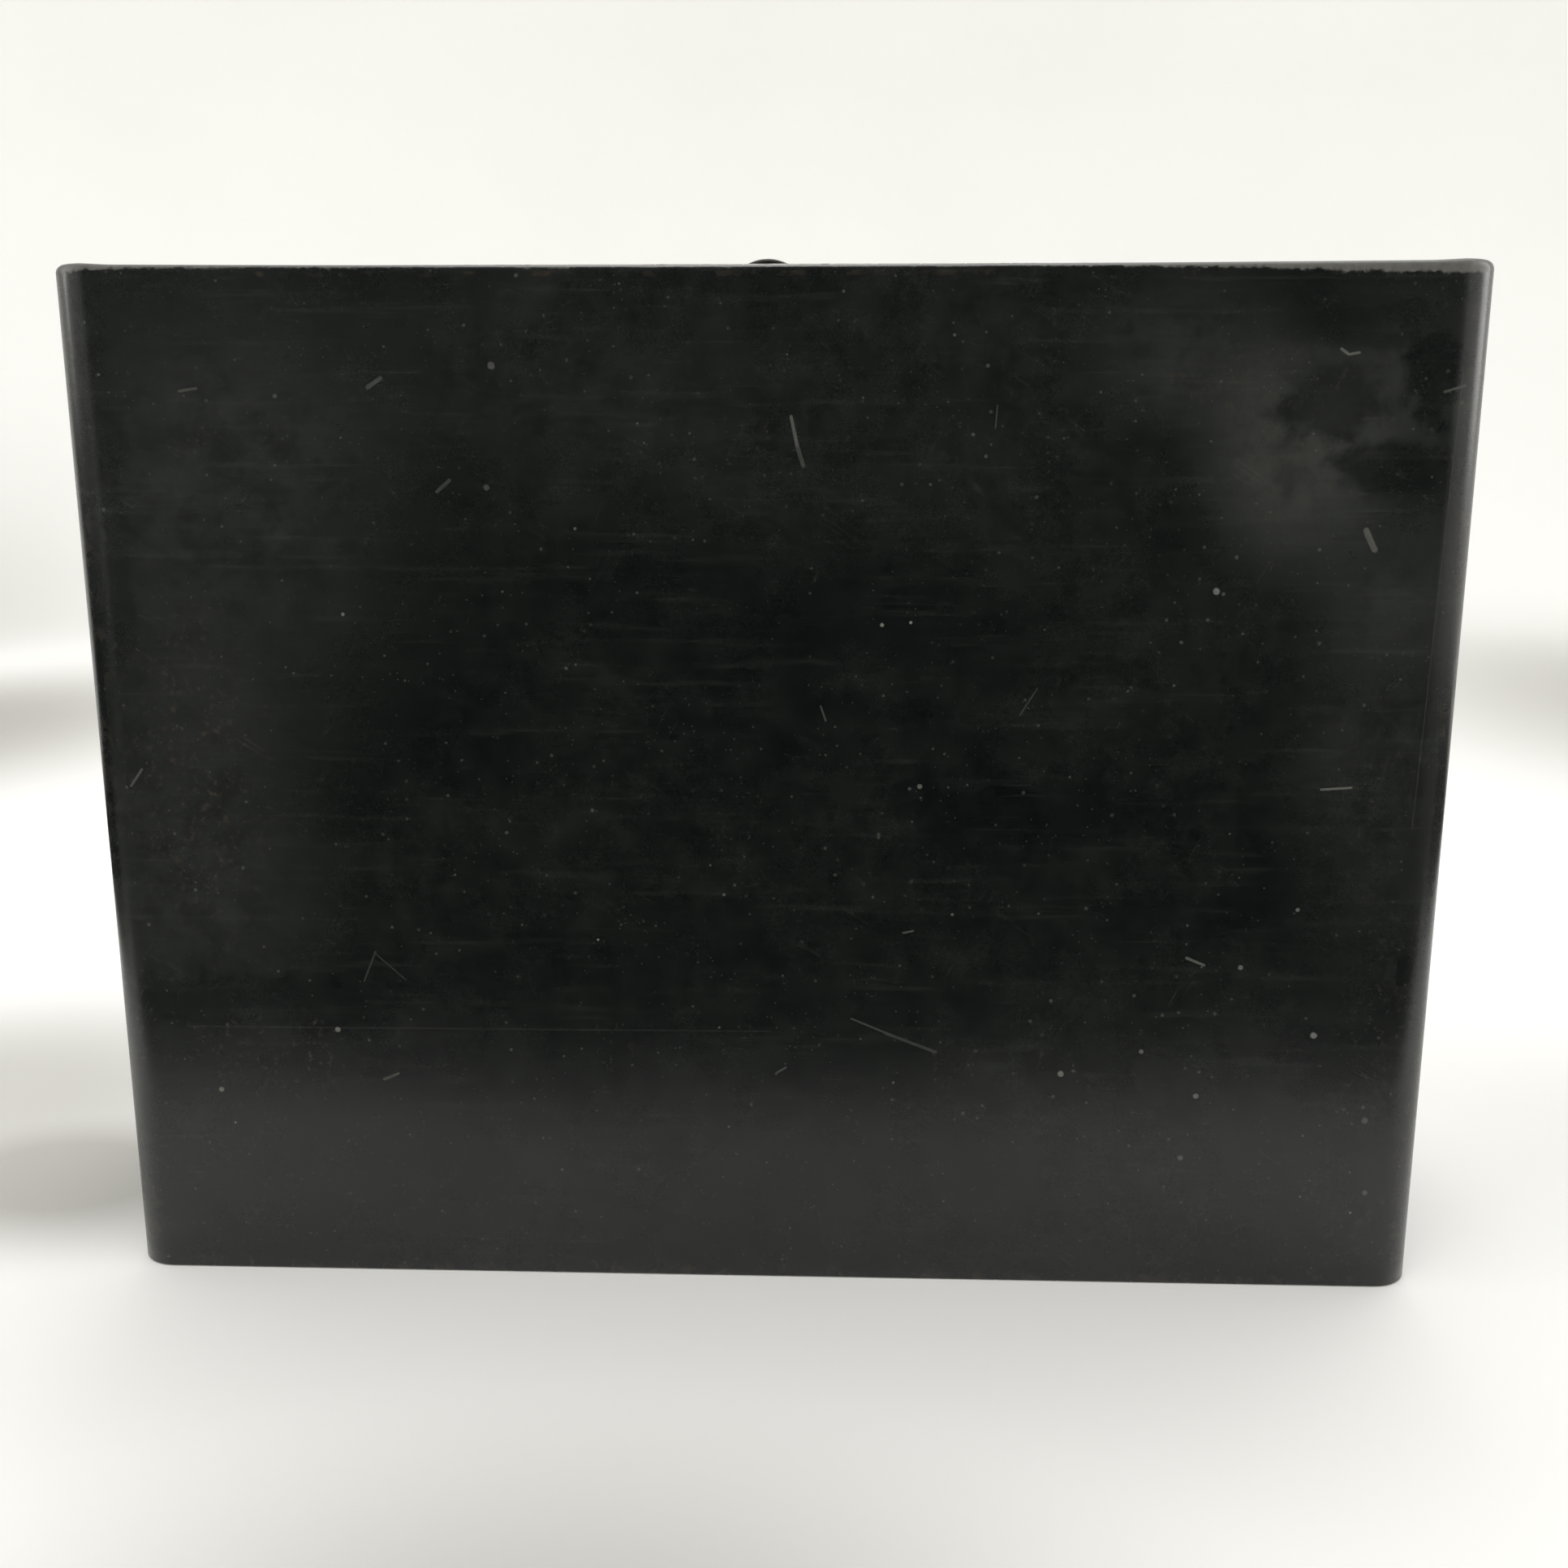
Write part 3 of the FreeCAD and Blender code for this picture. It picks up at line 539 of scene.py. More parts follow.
SPOTS = [  # x, z, radius, strength
    (-107.4, 66, 0.8, 0.8),
    (-138.3, 49.4, 0.8, 0.8),
    (73.6, 56.7, 0.9, 0.8),
    (93.2, 62.9, 0.7, 0.6),
    (107.2, 51.3, 0.8, 0.7),
    (104.3, 34.7, 0.8, 0.5),
    (135.1, 67.6, 1, 0.8),
    (129, 99.8, 0.6, 0.6),
    (116.2, 85, 0.7, 0.7),
    (149.3, 45.4, 0.9, 0.4),
    (150.8, 25.9, 0.8, 0.4),
    (-135.4, 40.4, 0.4, 0.8),
    (-41.1, 90.3, 0.35, 1),
    (27.8, 168.4, 0.55, 1),
    (34.5, 169, 0.45, 1),
    (105.1, 176.5, 0.9, 0.8),
    (-62.2, 227.4, 1, 0.35),
    (-64.4, 200, 0.8, 0.3),
    (-99.8, 170.4, 0.5, 0.8),
    (37.3, 129.6, 0.7, 0.6),
    (-112.7, 220.7, 0.6, 0.3),
]
HAZE = [  # x, z, half width, half height, strength: where handling has dulled and greyed the paint
    (-125, 195, 48, 70, 0.32),
    (-140, 115, 34, 60, 0.28),
    (121, 207, 23, 27, 0.78),
    (98, 230, 26, 20, 0.32),
    (143, 222, 24, 24, 0.35),
    (-4, 211, 60, 26, 0.08),
    (10, 226, 190, 62, 0.08),
    (145, 130, 22, 50, 0.26),
    (146, 178, 22, 22, 0.32),
    (-60, 225, 60, 25, 0.08),
]
DEEP = [  # x, z, half width, half height, strength: where the paint has stayed dark and glossy
    (128, 219, 13, 11, 0.65),
    (151, 225, 8, 15, 0.75),
    (144, 204.5, 17, 7, 0.7),
    (138, 236, 22, 7, 0.5),
    (-157, 190, 9, 66, 0.35),
    (66, 124, 40, 11, 0.7),
    (46, 115, 16, 6, 0.6),
    (-128, 73, 42, 9, 0.6),
]
CRAZED = [  # x, z, half width, half height, strength: where the film is peppered with fine rust
    (-125, 58, 24, 14, 0.5),
    (-138, 132, 20, 45, 0.6),
    (112, 222, 30, 12, 0.4),
    (150, 90, 10, 60, 0.2),
]
SCUFF = (155.8, 84.5, 2.2, 4.0)


def patches(paint, flat, places, ragged, solid, faint, join):
    """Ragged-edged oval patches joined up, full inside solid and gone past faint."""
    whole = 0.0
    for x, z, wide, high, strength in places:
        near = paint.oval(flat, (x, 0, z), (1 / wide, 0, 1 / high)) + ragged
        whole = join(near.step(faint, solid, 0.0, strength), whole)
    return whole


def bare_marks(paint, flat, wander):
    """Scratches and chips through the paint."""
    marks = 0.0
    for x, z, x_end, z_end, half, strength in SCRATCHES:
        run = Vector((x_end - x, 0, z_end - z))
        away = paint.vector("SUBTRACT", flat, (x, 0, z))
        share = paint.vector("DOT_PRODUCT", away, tuple(run / run.length_squared))
        on = paint.vector("SCALE", tuple(run), Scale=share.most(0.0).least(1.0))
        gap = paint.vector("DISTANCE", away, on) + wander * half
        marks = gap.step(half, half * 0.55, 0.0, strength).most(marks)
    for x, z, radius, strength in SPOTS:
        gap = paint.vector("DISTANCE", flat, (x, 0, z)) + wander * radius
        marks = gap.step(radius, radius * 0.6, 0.0, strength).most(marks)
    return marks


def black_enamel(name, seed, edge=None, flaws=False):
    """Stoved black enamel on steel: semi-gloss, dulled in clouds, rust where the film is broken.
    edge is 1 where the piece is rubbed; with none, it is a part that nothing rubs."""
    paint = Finish(name)
    edge = edge(paint) if edge else 0.0
    ripple = paint.noise(18.0, seed, detail=2.0)
    cloud = paint.noise(36.0, seed + 1, detail=5.0, rough=0.6, stretch=(0.6, 0.6, 1.0))
    mottle = paint.noise(9.0, seed + 7, detail=6.0, rough=0.72)
    grain = paint.noise(1.7, seed + 2, detail=4.0, rough=0.65)
    fine = paint.noise(0.45, seed + 3, detail=2.0)
    wipe = paint.noise(1.8, seed + 8, detail=4.0, rough=0.7, stretch=(0.05, 0.05, 1.0))
    dust = paint.cells(1.7, seed + 20).step(0.16, 0.05) * paint.noise(12.0, seed + 21).step(0.42, 0.6)
    haze = cloud.step(0.25, 0.85) * 0.22
    flaw = paint.cells(9.0, seed).step(0.05, 0.03) * paint.noise(30.0, seed + 4).step(0.5, 0.62)
    specks = paint.cells(3.4, seed + 12).step(0.12, 0.05) * mottle.step(0.42, 0.58)
    hair = paint.streaks(3.0, seed).most(paint.streaks(-34.0, seed + 1))
    hair = hair.most(paint.streaks(62.0, seed + 2))
    chips = (paint.cells(5.5, seed + 15) + (grain - 0.5) * 0.10).step(0.10, 0.05)
    chips = chips * cloud.step(0.45, 0.6)
    flaw = (flaw * 0.5).most(specks * 0.28).most(chips * 0.3).most(hair * 0.06).most(dust * 0.22)
    peppered = paint.noise(40.0, seed + 9).step(0.55, 0.75) * 0.4
    if flaws:
        face = paint.y.step(-(box_half_y - 1.5), -(box_half_y - 0.8))
        flat = paint.vector("MULTIPLY", paint.place, (1, 0, 1))
        ragged = (mottle - 0.5) * 1.1
        spread = patches(paint, flat, HAZE, ragged, 0.3, 1.25, Value.__add__)
        shine = patches(paint, flat, DEEP, ragged * 1.5, 0.55, 1.15, Value.most)
        crazed = patches(paint, flat, CRAZED, ragged, 0.4, 1.2, Value.most)
        haze = (haze + spread * face) * (1 - shine * face)
        marks = bare_marks(paint, flat, (grain - 0.5) * 0.8)
        # The grey band along the shoulder is partly worn paint and partly a painted highlight.
        flaw = flaw.most(marks * face).most(rim_wear_and_painted_highlight(paint, grain + mottle - 1.0) * 0.62)
        peppered = peppered.most(crazed * face)
        x, z, half_x, half_z = SCUFF
        scuff = (abs(paint.x - x).step(half_x, half_x - 0.4)
                 * abs(paint.z - z).step(half_z, half_z - 0.4))
        haze = haze * (1 - scuff * face * 0.9)
    rub = paint.noise(5.0, seed + 6, detail=5.0, rough=0.7).step(0.5, 0.68) * edge
    pit = grain.step(0.57, 0.66) * peppered
    rust = (rub * 0.5).most(pit)
    black = paint.mix(mottle.step(0.3, 0.75), (0.0020, 0.0032, 0.0032), (0.0050, 0.0067, 0.0062))
    dusty = haze * (0.35 + mottle.step(0.3, 0.7) * 0.75 + grain * 0.5) + wipe.step(0.52, 0.75) * 0.22
    colour = paint.mix(dusty, black, (0.030, 0.0325, 0.0280))
    colour = paint.mix(rust, colour, (0.040, 0.027, 0.018))
    colour = paint.mix(flaw * (0.4 + grain), colour, (0.150, 0.147, 0.130))
    dull = (0.23 + haze * 0.12 + (ripple - 0.5) * 0.10 + pit * 0.3 + rub * 0.08 + flaw * 0.3
            + fine * 0.05)
    height = ripple + grain * 0.12 + mottle * 0.15 - flaw * 0.5 + rust * 0.15
    return paint.close(Base_Color=colour, Roughness=dull, IOR=1.5,
                       Normal=paint.bump(height, 0.05))


def wall_edges(paint):
    """The upright corners, the shoulder and the foot, and a rust line just under the shoulder."""
    corner = (abs(paint.x).step(box_half_x - 9.5, box_half_x - 5.5)
              * abs(paint.y).step(box_half_y - 9.5, box_half_y - 5.5))
    shoulder = paint.z.step(box_height - 2.2, box_height - 0.8) * 0.3
    line = abs(paint.z - (box_height - 2.5)).step(0.8, 0.4) * abs(paint.x + 30.0).step(105.0, 85.0)
    return (corner * 0.7).most(shoulder).most(line).most(paint.z.step(4.0, 0.6))


def rim_wear_and_painted_highlight(paint, ragged):
    """1 where the paint is worn to a grey film along the shoulder, the same grey also painting in the
    shoulder's highlight: most at the right corner.
    """
    depth = 0.5 + paint.x.step(60.0, 165.0) * 1.9 + paint.x.step(-145.0, -162.0) * 0.9
    edge = depth + ragged * 2.0
    front = paint.y.step(-(box_half_y - 3.0), -(box_half_y - 1.5))
    return (paint.z - (box_height - 0.4) + edge).step(-0.35, 0.35) * front


case_wall = put("case_wall", wall_mesh())
case_wall.data.materials.append(black_enamel("wall_enamel", 1.0, wall_edges, flaws=True))
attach(case_wall, "case")
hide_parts("case_shell")


# ----------------------------------------------
# Base pan: a shallow tray of the same sheet, pushed up into the wall and welded there before the
# box was enamelled. Its floor is what the box stands on, so its underside is scraped.
def dress(node, material):
    """Gives a piece that is already the right shape its finish."""
    slots = nodes[node].material_slots
    if not slots:
        nodes[node].data.materials.append(material)
    for slot in slots:
        slot.link = "OBJECT"
        slot.material = material


def underside(paint):
    return paint.z.step(0.6, 0.1)


dress("base_pan", black_enamel("pan_enamel", 4.0, underside))

# ----------------------------------------------
# Seam strip: the wall's two ends butt together down the middle of the plain end, and this strip
# is spot-welded behind them. The paint over each weld has a shallow ring.
WELD_PITCH = 25.0


def strip_enamel():
    paint = Finish("strip_enamel")
    grain = paint.noise(1.7, 5.0, detail=4.0, rough=0.65)
    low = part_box("seam_strip")[0].z / MM
    along = paint.add("ShaderNodeMath", {"operation": "PINGPONG"},
                      {0: paint.z - low, 1: WELD_PITCH / 2})
    away = paint.xyz(X=along - WELD_PITCH / 4, Y=paint.y)
    ring = abs(paint.vector("LENGTH", away) - 2.2).step(0.8, 0.1)
    colour = paint.mix(grain, (0.005, 0.0055, 0.0054), (0.011, 0.0112, 0.0105))
    colour = paint.mix(ring * grain, colour, (0.035, 0.024, 0.017))
    return paint.close(Base_Color=colour, Roughness=0.28 + grain * 0.15,
                       Normal=paint.bump(grain * 0.15 - ring, 0.1))


dress("seam_strip", strip_enamel())

# ----------------------------------------------
# End ledges: an angle riveted inside each end, whose shelf carries that end of the lid. Each is
# held by two round-head rivets that show on the outside, enamelled over with the rest.
def box_edges(node, reach):
    """Rubbing along the edges of one piece's box, reach millimetres wide."""
    return lambda paint: paint.edges(node, reach)


for ledge in ("end_ledge_left", "end_ledge_right"):
    dress(ledge, black_enamel(ledge + "_enamel", 11.0, box_edges(ledge, 1.2)))


def face_outward(data):
    """Turns all the faces of a closed mesh outward."""
    shape = bmesh.new()
    shape.from_mesh(data)
    bmesh.ops.recalc_face_normals(shape, faces=shape.faces)
    shape.to_mesh(data)
    shape.free()


class Recipe(Tree):
    """A Geometry Nodes tree with named inputs, which makes like pieces and joins them."""

    def __init__(self, name, **inputs):
        group = bpy.data.node_groups.new(name, "GeometryNodeTree")
        super().__init__(group)
        group.interface.new_socket("Places", in_out="INPUT", socket_type="NodeSocketGeometry")
        group.interface.new_socket("Pieces", in_out="OUTPUT", socket_type="NodeSocketGeometry")
        self.keys = {}
        for label, kind in {**inputs, "Seed": "Int", "Finish": "Material"}.items():
            socket = group.interface.new_socket(label, in_out="INPUT",
                                                socket_type="NodeSocket" + kind)
            self.keys[label] = socket.identifier
        self.start = group.nodes.new("NodeGroupInput")

    def given(self, label):
        return Value(self, self.start.outputs[label])

    def join(self, *parts):
        node = self.tree.nodes.new("GeometryNodeJoinGeometry")
        for piece in parts:
            self.tree.links.new(piece.socket, node.inputs[0])
        return Value(self, node.outputs[0])

    def move(self, geometry, x, y, z):
        """Geometry with each point put at x, y, z, which are worked out for that point."""
        return self.add("GeometryNodeSetPosition", {},
                        {"Geometry": geometry, "Position": self.xyz(X=x, Y=y, Z=z)})

    def chance(self, least, most, number):
        """A random number for each place; number sets one kind of draw apart from another."""
        return self.add("FunctionNodeRandomValue", {"data_type": "FLOAT"},
                        {2: least, 3: most, "Seed": self.given("Seed") + float(number)}, 1)

    def end(self, geometry):
        whole = self.add("GeometryNodeRealizeInstances", {}, {0: geometry})
        done = self.add("GeometryNodeSetMaterial", {},
                        {"Geometry": whole, "Material": self.given("Finish")})
        self.add("NodeGroupOutput", {}, {0: done})

    def make(self, name, places, finish, seed=0, outward=None, sharp=40.0, **values):
        """Runs the tree on places, in metres, and makes its result a plain mesh."""
        base = new_mesh(name + "_places", places, [])
        if outward:
            spin = base.attributes.new("outward", "FLOAT_VECTOR", "POINT")
            spin.data.foreach_set("vector", [part for way in outward for part in way])
        made = put(name, base)
        modifier = made.modifiers.new("recipe", "NODES")
        modifier.node_group = self.tree
        for label, value in {**values, "Seed": seed, "Finish": finish}.items():
            modifier[self.keys[label]] = value
        graph = bpy.context.evaluated_depsgraph_get()
        data = bpy.data.meshes.new_from_object(made.evaluated_get(graph))
        made.modifiers.remove(modifier)
        made.data = data
        face_outward(data)
        data.name = name
        shaded(data, sharp)
        return made


RIVET_LEAN = 0.04
RIVET_SPREAD = 0.03         # how far rivets differ in size


def rivet_recipe():
    """Domed head on the place, shank through the sheets, and a tail closed flat behind them."""
    rivet = Recipe("rivet", Head="Float", Rise="Float", Shank="Float", Grip="Float", Tail="Float",
                   Tail_Rise="Float")
    spot = rivet.add("GeometryNodeInputPosition", {}, {})
    x, y, z = (rivet.part(spot, axis) for axis in "XYZ")
    ball = rivet.add("GeometryNodeMeshUVSphere", {}, {"Segments": 24, "Rings": 18, "Radius": 1.0})
    head, tail = rivet.given("Head"), rivet.given("Tail")
    dome = rivet.move(ball, x * head, y * head, z.most(0.0) * rivet.given("Rise"))
    closed = rivet.move(ball, x * tail, y * tail,
                        z.least(0.0) * rivet.given("Tail_Rise") - rivet.given("Grip"))
    rod = rivet.add("GeometryNodeMeshCylinder", {}, {"Vertices": 16, "Radius": 1.0, "Depth": 1.0})
    shank = rivet.given("Shank")
    rod = rivet.move(rod, x * shank, y * shank, (z - 0.5) * rivet.given("Grip"))
    way = rivet.add("GeometryNodeInputNamedAttribute", {"data_type": "FLOAT_VECTOR"},
                    {"Name": "outward"})
    lean = {axis: rivet.chance(-RIVET_LEAN, RIVET_LEAN, i) for i, axis in enumerate("XYZ")}
    way = rivet.vector("ADD", way, rivet.xyz(**lean))
    turn = rivet.add("FunctionNodeAlignRotationToVector", {"axis": "Z"}, {"Vector": way})
    size = rivet.chance(1 - RIVET_SPREAD, 1 + RIVET_SPREAD, 7)
    rivet.end(rivet.add("GeometryNodeInstanceOnPoints", {},
                        {"Points": rivet.given("Places"), "Instance": rivet.join(dome, closed, rod),
                         "Rotation": turn, "Scale": size}))
    return rivet


RIVET = rivet_recipe()
HEAD_TO_SHANK = 1.75
RISE_TO_SHANK = 0.75
TAIL_TO_SHANK = 1.5
TAIL_RISE = 0.6


def rivets(name, node, finish, seed, places, shank, grip):
    """Round-head rivets of one body, standing for a node. places are (point, outward), in mm."""
    made = RIVET.make(name, [[part * MM for part in point] for point, _ in places], finish, seed,
                      [way for _, way in places], Head=shank * HEAD_TO_SHANK * MM,
                      Rise=shank * RISE_TO_SHANK * MM, Shank=shank * MM, Grip=grip * MM,
                      Tail=shank * TAIL_TO_SHANK * MM, Tail_Rise=TAIL_RISE * MM)
    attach(made, nodes[node]["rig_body"])
    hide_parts(node)


LEDGE_SHANK = 1.5


def rubbed_heads(paint):
    return (abs(paint.x) - box_half_x).step(0.3, 1.0) * 0.8


LEDGE_RIVET_Z = 231.0
LEDGE_RIVET_Y = 18
ledge_places = [((side * box_half_x, y, LEDGE_RIVET_Z), (side, 0, 0))
                for side in (-1, 1) for y in (-LEDGE_RIVET_Y, LEDGE_RIVET_Y)]
rivets("ledge_rivet_heads", "ledge_rivets",
       black_enamel("rivet_enamel", 12.0, rubbed_heads), 3, ledge_places, LEDGE_SHANK, 2 * SHEET)


# ----------------------------------------------
# Lid bumpers: four pads of black rubber stuck on the ledges, which the lid comes down on.
def rubber():
    pad = Finish("rubber")
    grain = pad.noise(0.6, 2.0, detail=3.0)
    dust = pad.noise(5.0, 3.0, detail=5.0, rough=0.7).step(0.45, 0.7)
    colour = pad.mix(grain, (0.022, 0.022, 0.021), (0.036, 0.035, 0.033))
    colour = pad.mix(dust * 0.35, colour, (0.14, 0.13, 0.115))
    return pad.close(Base_Color=colour, Roughness=0.72 + dust * 0.15, Specular_IOR_Level=0.35,
                     Normal=pad.bump(grain, 0.05))


dress("lid_bumpers", rubber())


# ----------------------------------------------
# Piano hinge: two strips of thin steel whose edges are cut into knuckles and rolled round a wire
# pin, riveted to the rim's lip and to the lid's skirt. It was fitted bare and has gone dull.
def hinge_steel():
    steel = Finish("hinge_steel")
    cloud = steel.noise(14.0, 1.0, detail=5.0, rough=0.65)
    grain = steel.noise(0.8, 2.0, detail=3.0)
    drawn = steel.noise(0.5, 3.0, detail=2.0, stretch=(0.04, 1.0, 1.0))
    rust = steel.noise(3.5, 4.0, detail=6.0, rough=0.72).step(0.55, 0.68)
    colour = steel.mix(cloud.step(0.3, 0.7), (0.20, 0.185, 0.165), (0.36, 0.345, 0.32))
    colour = steel.mix(rust * 0.75, colour, (0.085, 0.042, 0.021))
    return steel.close(Base_Color=colour, Metallic=1 - rust * 0.85,
                       Roughness=0.36 + cloud * 0.12 + drawn * 0.08 + rust * 0.3,
                       Normal=steel.bump(drawn * 0.5 + grain * 0.3 + rust * 0.6, 0.03))


KNUCKLE_RADIUS = 1.7
KNUCKLE_PITCH = 10.3
KNUCKLE_COUNT = 29
KNUCKLE_SPLIT = 0.3
KNUCKLE_ROLL = 285          # degrees
LEAF = 0.7
LEAF_CLEAR = 2.0            # straight part of a leaf ends this far below the pin
HINGE_RIVET_SHANK = 0.8


def middle(node):
    """Middle of a piece's box, mm."""
    low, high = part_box(node)
    return [(start + end) / 2 / MM for start, end in zip(low, high)]


hinge_y, hinge_z = middle("hinge_pin")[1:]
hinge_half = KNUCKLE_PITCH * KNUCKLE_COUNT / 2


def leaf_recipe():
    """A row of knuckles rolled from strips of the leaf, at places along the pin, and the leaf's
    straight part under them. Side is -1 for a leaf on the case side of the pin, 1 on the lid's."""
    leaf = Recipe("hinge_leaf", Knuckle="Float", Radius="Float", Wall="Float", Roll="Float",
                  Clear="Float", Offset="Float", Side="Float", Length="Float", Drop="Float",
                  Axis_Y="Float", Axis_Z="Float")
    steps = 30
    straight = 0.2
    line = leaf.add("GeometryNodeMeshLine", {}, {"Count": steps})
    share = leaf.add("GeometryNodeInputIndex", {}, {}) * (1.0 / (steps - 1))
    up = (share * (1 / straight)).least(1.0)
    angle = (share - straight).most(0.0) * (1 / (1 - straight)) * leaf.given("Roll")
    radius = leaf.given("Radius")
    out = angle.math("COSINE") * radius + (1 - up.step(0.0, 1.0)) * leaf.given("Offset")
    height = angle.math("SINE") * radius - (1 - up) * leaf.given("Clear")
    line = leaf.move(line, 0.0, out * leaf.given("Side"), height)
    path = leaf.add("GeometryNodeMeshToCurve", {}, {0: line})
    strip = leaf.add("GeometryNodeCurvePrimitiveQuadrilateral", {"mode": "RECTANGLE"},
                     {"Width": leaf.given("Knuckle"), "Height": leaf.given("Wall")})
    knuckle = leaf.add("GeometryNodeCurveToMesh", {},
                       {"Curve": path, "Profile Curve": strip, "Fill Caps": True})
    turn = leaf.xyz(X=leaf.chance(-0.03, 0.03, 1))
    row = leaf.add("GeometryNodeInstanceOnPoints", {},
                   {"Points": leaf.given("Places"), "Instance": knuckle,
                    "Rotation": leaf.add("FunctionNodeEulerToRotation", {}, {0: turn})})
    size = leaf.xyz(X=leaf.given("Length"), Y=leaf.given("Wall"), Z=leaf.given("Drop"))
    plate = leaf.add("GeometryNodeMeshCube", {}, {"Size": size})
    down = (leaf.given("Drop") * -0.5) - leaf.given("Clear")
    aside = (radius + leaf.given("Offset")) * leaf.given("Side")
    place = leaf.xyz(Y=leaf.given("Axis_Y") + aside, Z=leaf.given("Axis_Z") + down)
    plate = leaf.add("GeometryNodeTransform", {}, {"Geometry": plate, "Translation": place})
    leaf.end(leaf.join(row, plate))
    return leaf


LEAF_RECIPE = leaf_recipe()


def hinge_leaf(name, node, side, first, seed, finish):
    """One leaf; first is its first knuckle, and every second one after it is on the same leaf."""
    low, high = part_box(node)
    at = [((i - (KNUCKLE_COUNT - 1) / 2) * KNUCKLE_PITCH * MM, hinge_y * MM, hinge_z * MM)
          for i in range(first, KNUCKLE_COUNT, 2)]
    plate = (low.y if side < 0 else high.y) / MM - side * LEAF / 2
    roll_radius = KNUCKLE_RADIUS - LEAF / 2
    made = LEAF_RECIPE.make(
        name, at, finish, seed, sharp=50.0, Knuckle=(KNUCKLE_PITCH - KNUCKLE_SPLIT) * MM,
        Radius=roll_radius * MM, Wall=LEAF * MM, Roll=math.radians(KNUCKLE_ROLL), Clear=LEAF_CLEAR * MM,
        Offset=(side * (plate - hinge_y) - roll_radius) * MM, Side=side,
        Length=2 * hinge_half * MM, Drop=high.z - low.z - (LEAF_CLEAR + KNUCKLE_RADIUS) * MM,
        Axis_Y=hinge_y * MM, Axis_Z=hinge_z * MM)
    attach(made, nodes[node]["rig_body"])
    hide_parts(node)


bare_steel = hinge_steel()
hinge_leaf("case_leaf", "hinge_leaf_case", -1.0, 0, 5, bare_steel)
hinge_leaf("lid_leaf", "hinge_leaf_lid", 1.0, 1, 6, bare_steel)
dress("hinge_pin", bare_steel)

HINGE_RIVET_DOWN = 4.4      # below the pin
HINGE_RIVET_PITCH = 32.0
hinge_rivet_z = hinge_z - HINGE_RIVET_DOWN
leaf_grip = SHEET + LEAF
case_leaf_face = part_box("hinge_leaf_case")[0].y / MM + LEAF
lid_leaf_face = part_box("hinge_leaf_lid")[1].y / MM - LEAF
rivets("case_leaf_rivets", "hinge_rivets_case", bare_steel, 8,
       [((HINGE_RIVET_PITCH * (i - 4), case_leaf_face, hinge_rivet_z), (0, 1, 0)) for i in range(9)],
       HINGE_RIVET_SHANK, leaf_grip)
rivets("lid_leaf_rivets", "hinge_rivets_lid", bare_steel, 9,
       [((HINGE_RIVET_PITCH * (i - 3.5), lid_leaf_face, hinge_rivet_z), (0, -1, 0)) for i in range(8)],
       HINGE_RIVET_SHANK, leaf_grip)


# ----------------------------------------------
# Strike: a small enamelled angle behind the lip on the latch side, which the cam turns in under.
# Its two pins are flush in front, so that the lid's skirt passes them, and are closed behind.
def zinc_steel(name, seed):
    """Bright zinc on steel: fine turning marks, and grey bloom where it is handled least."""
    zinc = Finish(name)
    bloom = zinc.noise(4.0, seed, detail=5.0, rough=0.65).step(0.4, 0.7)
    grain = zinc.noise(0.5, seed + 1, detail=3.0)
    turned = zinc.noise(0.3, seed + 2, detail=2.0, stretch=(0.15, 0.15, 1.0))
    colour = zinc.mix(bloom, (0.50, 0.49, 0.46), (0.34, 0.335, 0.325))
    return zinc.close(Base_Color=colour, Metallic=1 - bloom * 0.25,
                      Roughness=0.30 + bloom * 0.18 + turned * 0.08,
                      Normal=zinc.bump(turned * 0.4 + grain * 0.3, 0.02))


dress("strike_plate", black_enamel("strike_enamel", 14.0, box_edges("strike_plate", 1.0)))
STRIKE_SHANK = 1.2
STRIKE_RIVET_X = 9.0
STRIKE_RISE = 0.05
STRIKE_TAIL = 2.0
strike_x, strike_z = middle("strike_rivets")[::2]
strike_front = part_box("strike_rivets")[0].y
strike_at = [((strike_x + x) * MM, strike_front, strike_z * MM)
             for x in (-STRIKE_RIVET_X, STRIKE_RIVET_X)]
strike_pins = RIVET.make("strike_pins", strike_at, zinc_steel("pin_zinc", 2.0), 4,
                         [(0, -1, 0)] * 2, Head=STRIKE_SHANK * MM, Rise=STRIKE_RISE * MM,
                         Shank=STRIKE_SHANK * MM, Grip=2 * SHEET * MM, Tail=STRIKE_TAIL * MM,
                         Tail_Rise=TAIL_RISE * MM)
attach(strike_pins, "case")
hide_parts("strike_rivets")


# ----------------------------------------------
# Lid: one sheet with its skirt turned down all round and two long beads pressed up to stiffen
# it. The paint is rubbed on the crowns of the beads and on the edge that fingers lift.
def lid_edges(paint):
    crown = paint.z.step(box_height + 0.7, box_height + 1.15) * 0.8
    return paint.edges("lid_panel", 1.6).most(crown)


dress("lid_panel", black_enamel("lid_enamel", 17.0, lid_edges))


# ----------------------------------------------
# Rose and thumb turn: a rounded steel plate riveted on the lid, and the half-round wing that
# turns in it. Both are black lacquer, worn through to the metal where fingers reach.
def latch_lacquer(name, seed, worn):
    """Black lacquer over steel. worn gives 1 where it is rubbed through."""
    coat = Finish(name)
    patch = coat.noise(2.6, seed, detail=5.0, rough=0.7)
    grain = coat.noise(0.7, seed + 1, detail=3.0)
    bare = (worn(coat) * (0.55 + patch * 0.9)).step(0.62, 0.85)
    colour = coat.mix(grain, (0.009, 0.0088, 0.0082), (0.019, 0.018, 0.016))
    colour = coat.mix(bare, colour, (0.27, 0.25, 0.22))
    return coat.close(Base_Color=colour, Metallic=bare, Roughness=0.27 + patch * 0.12 + bare * 0.06,
                      Normal=coat.bump(grain * 0.3 - bare * 0.5, 0.04))


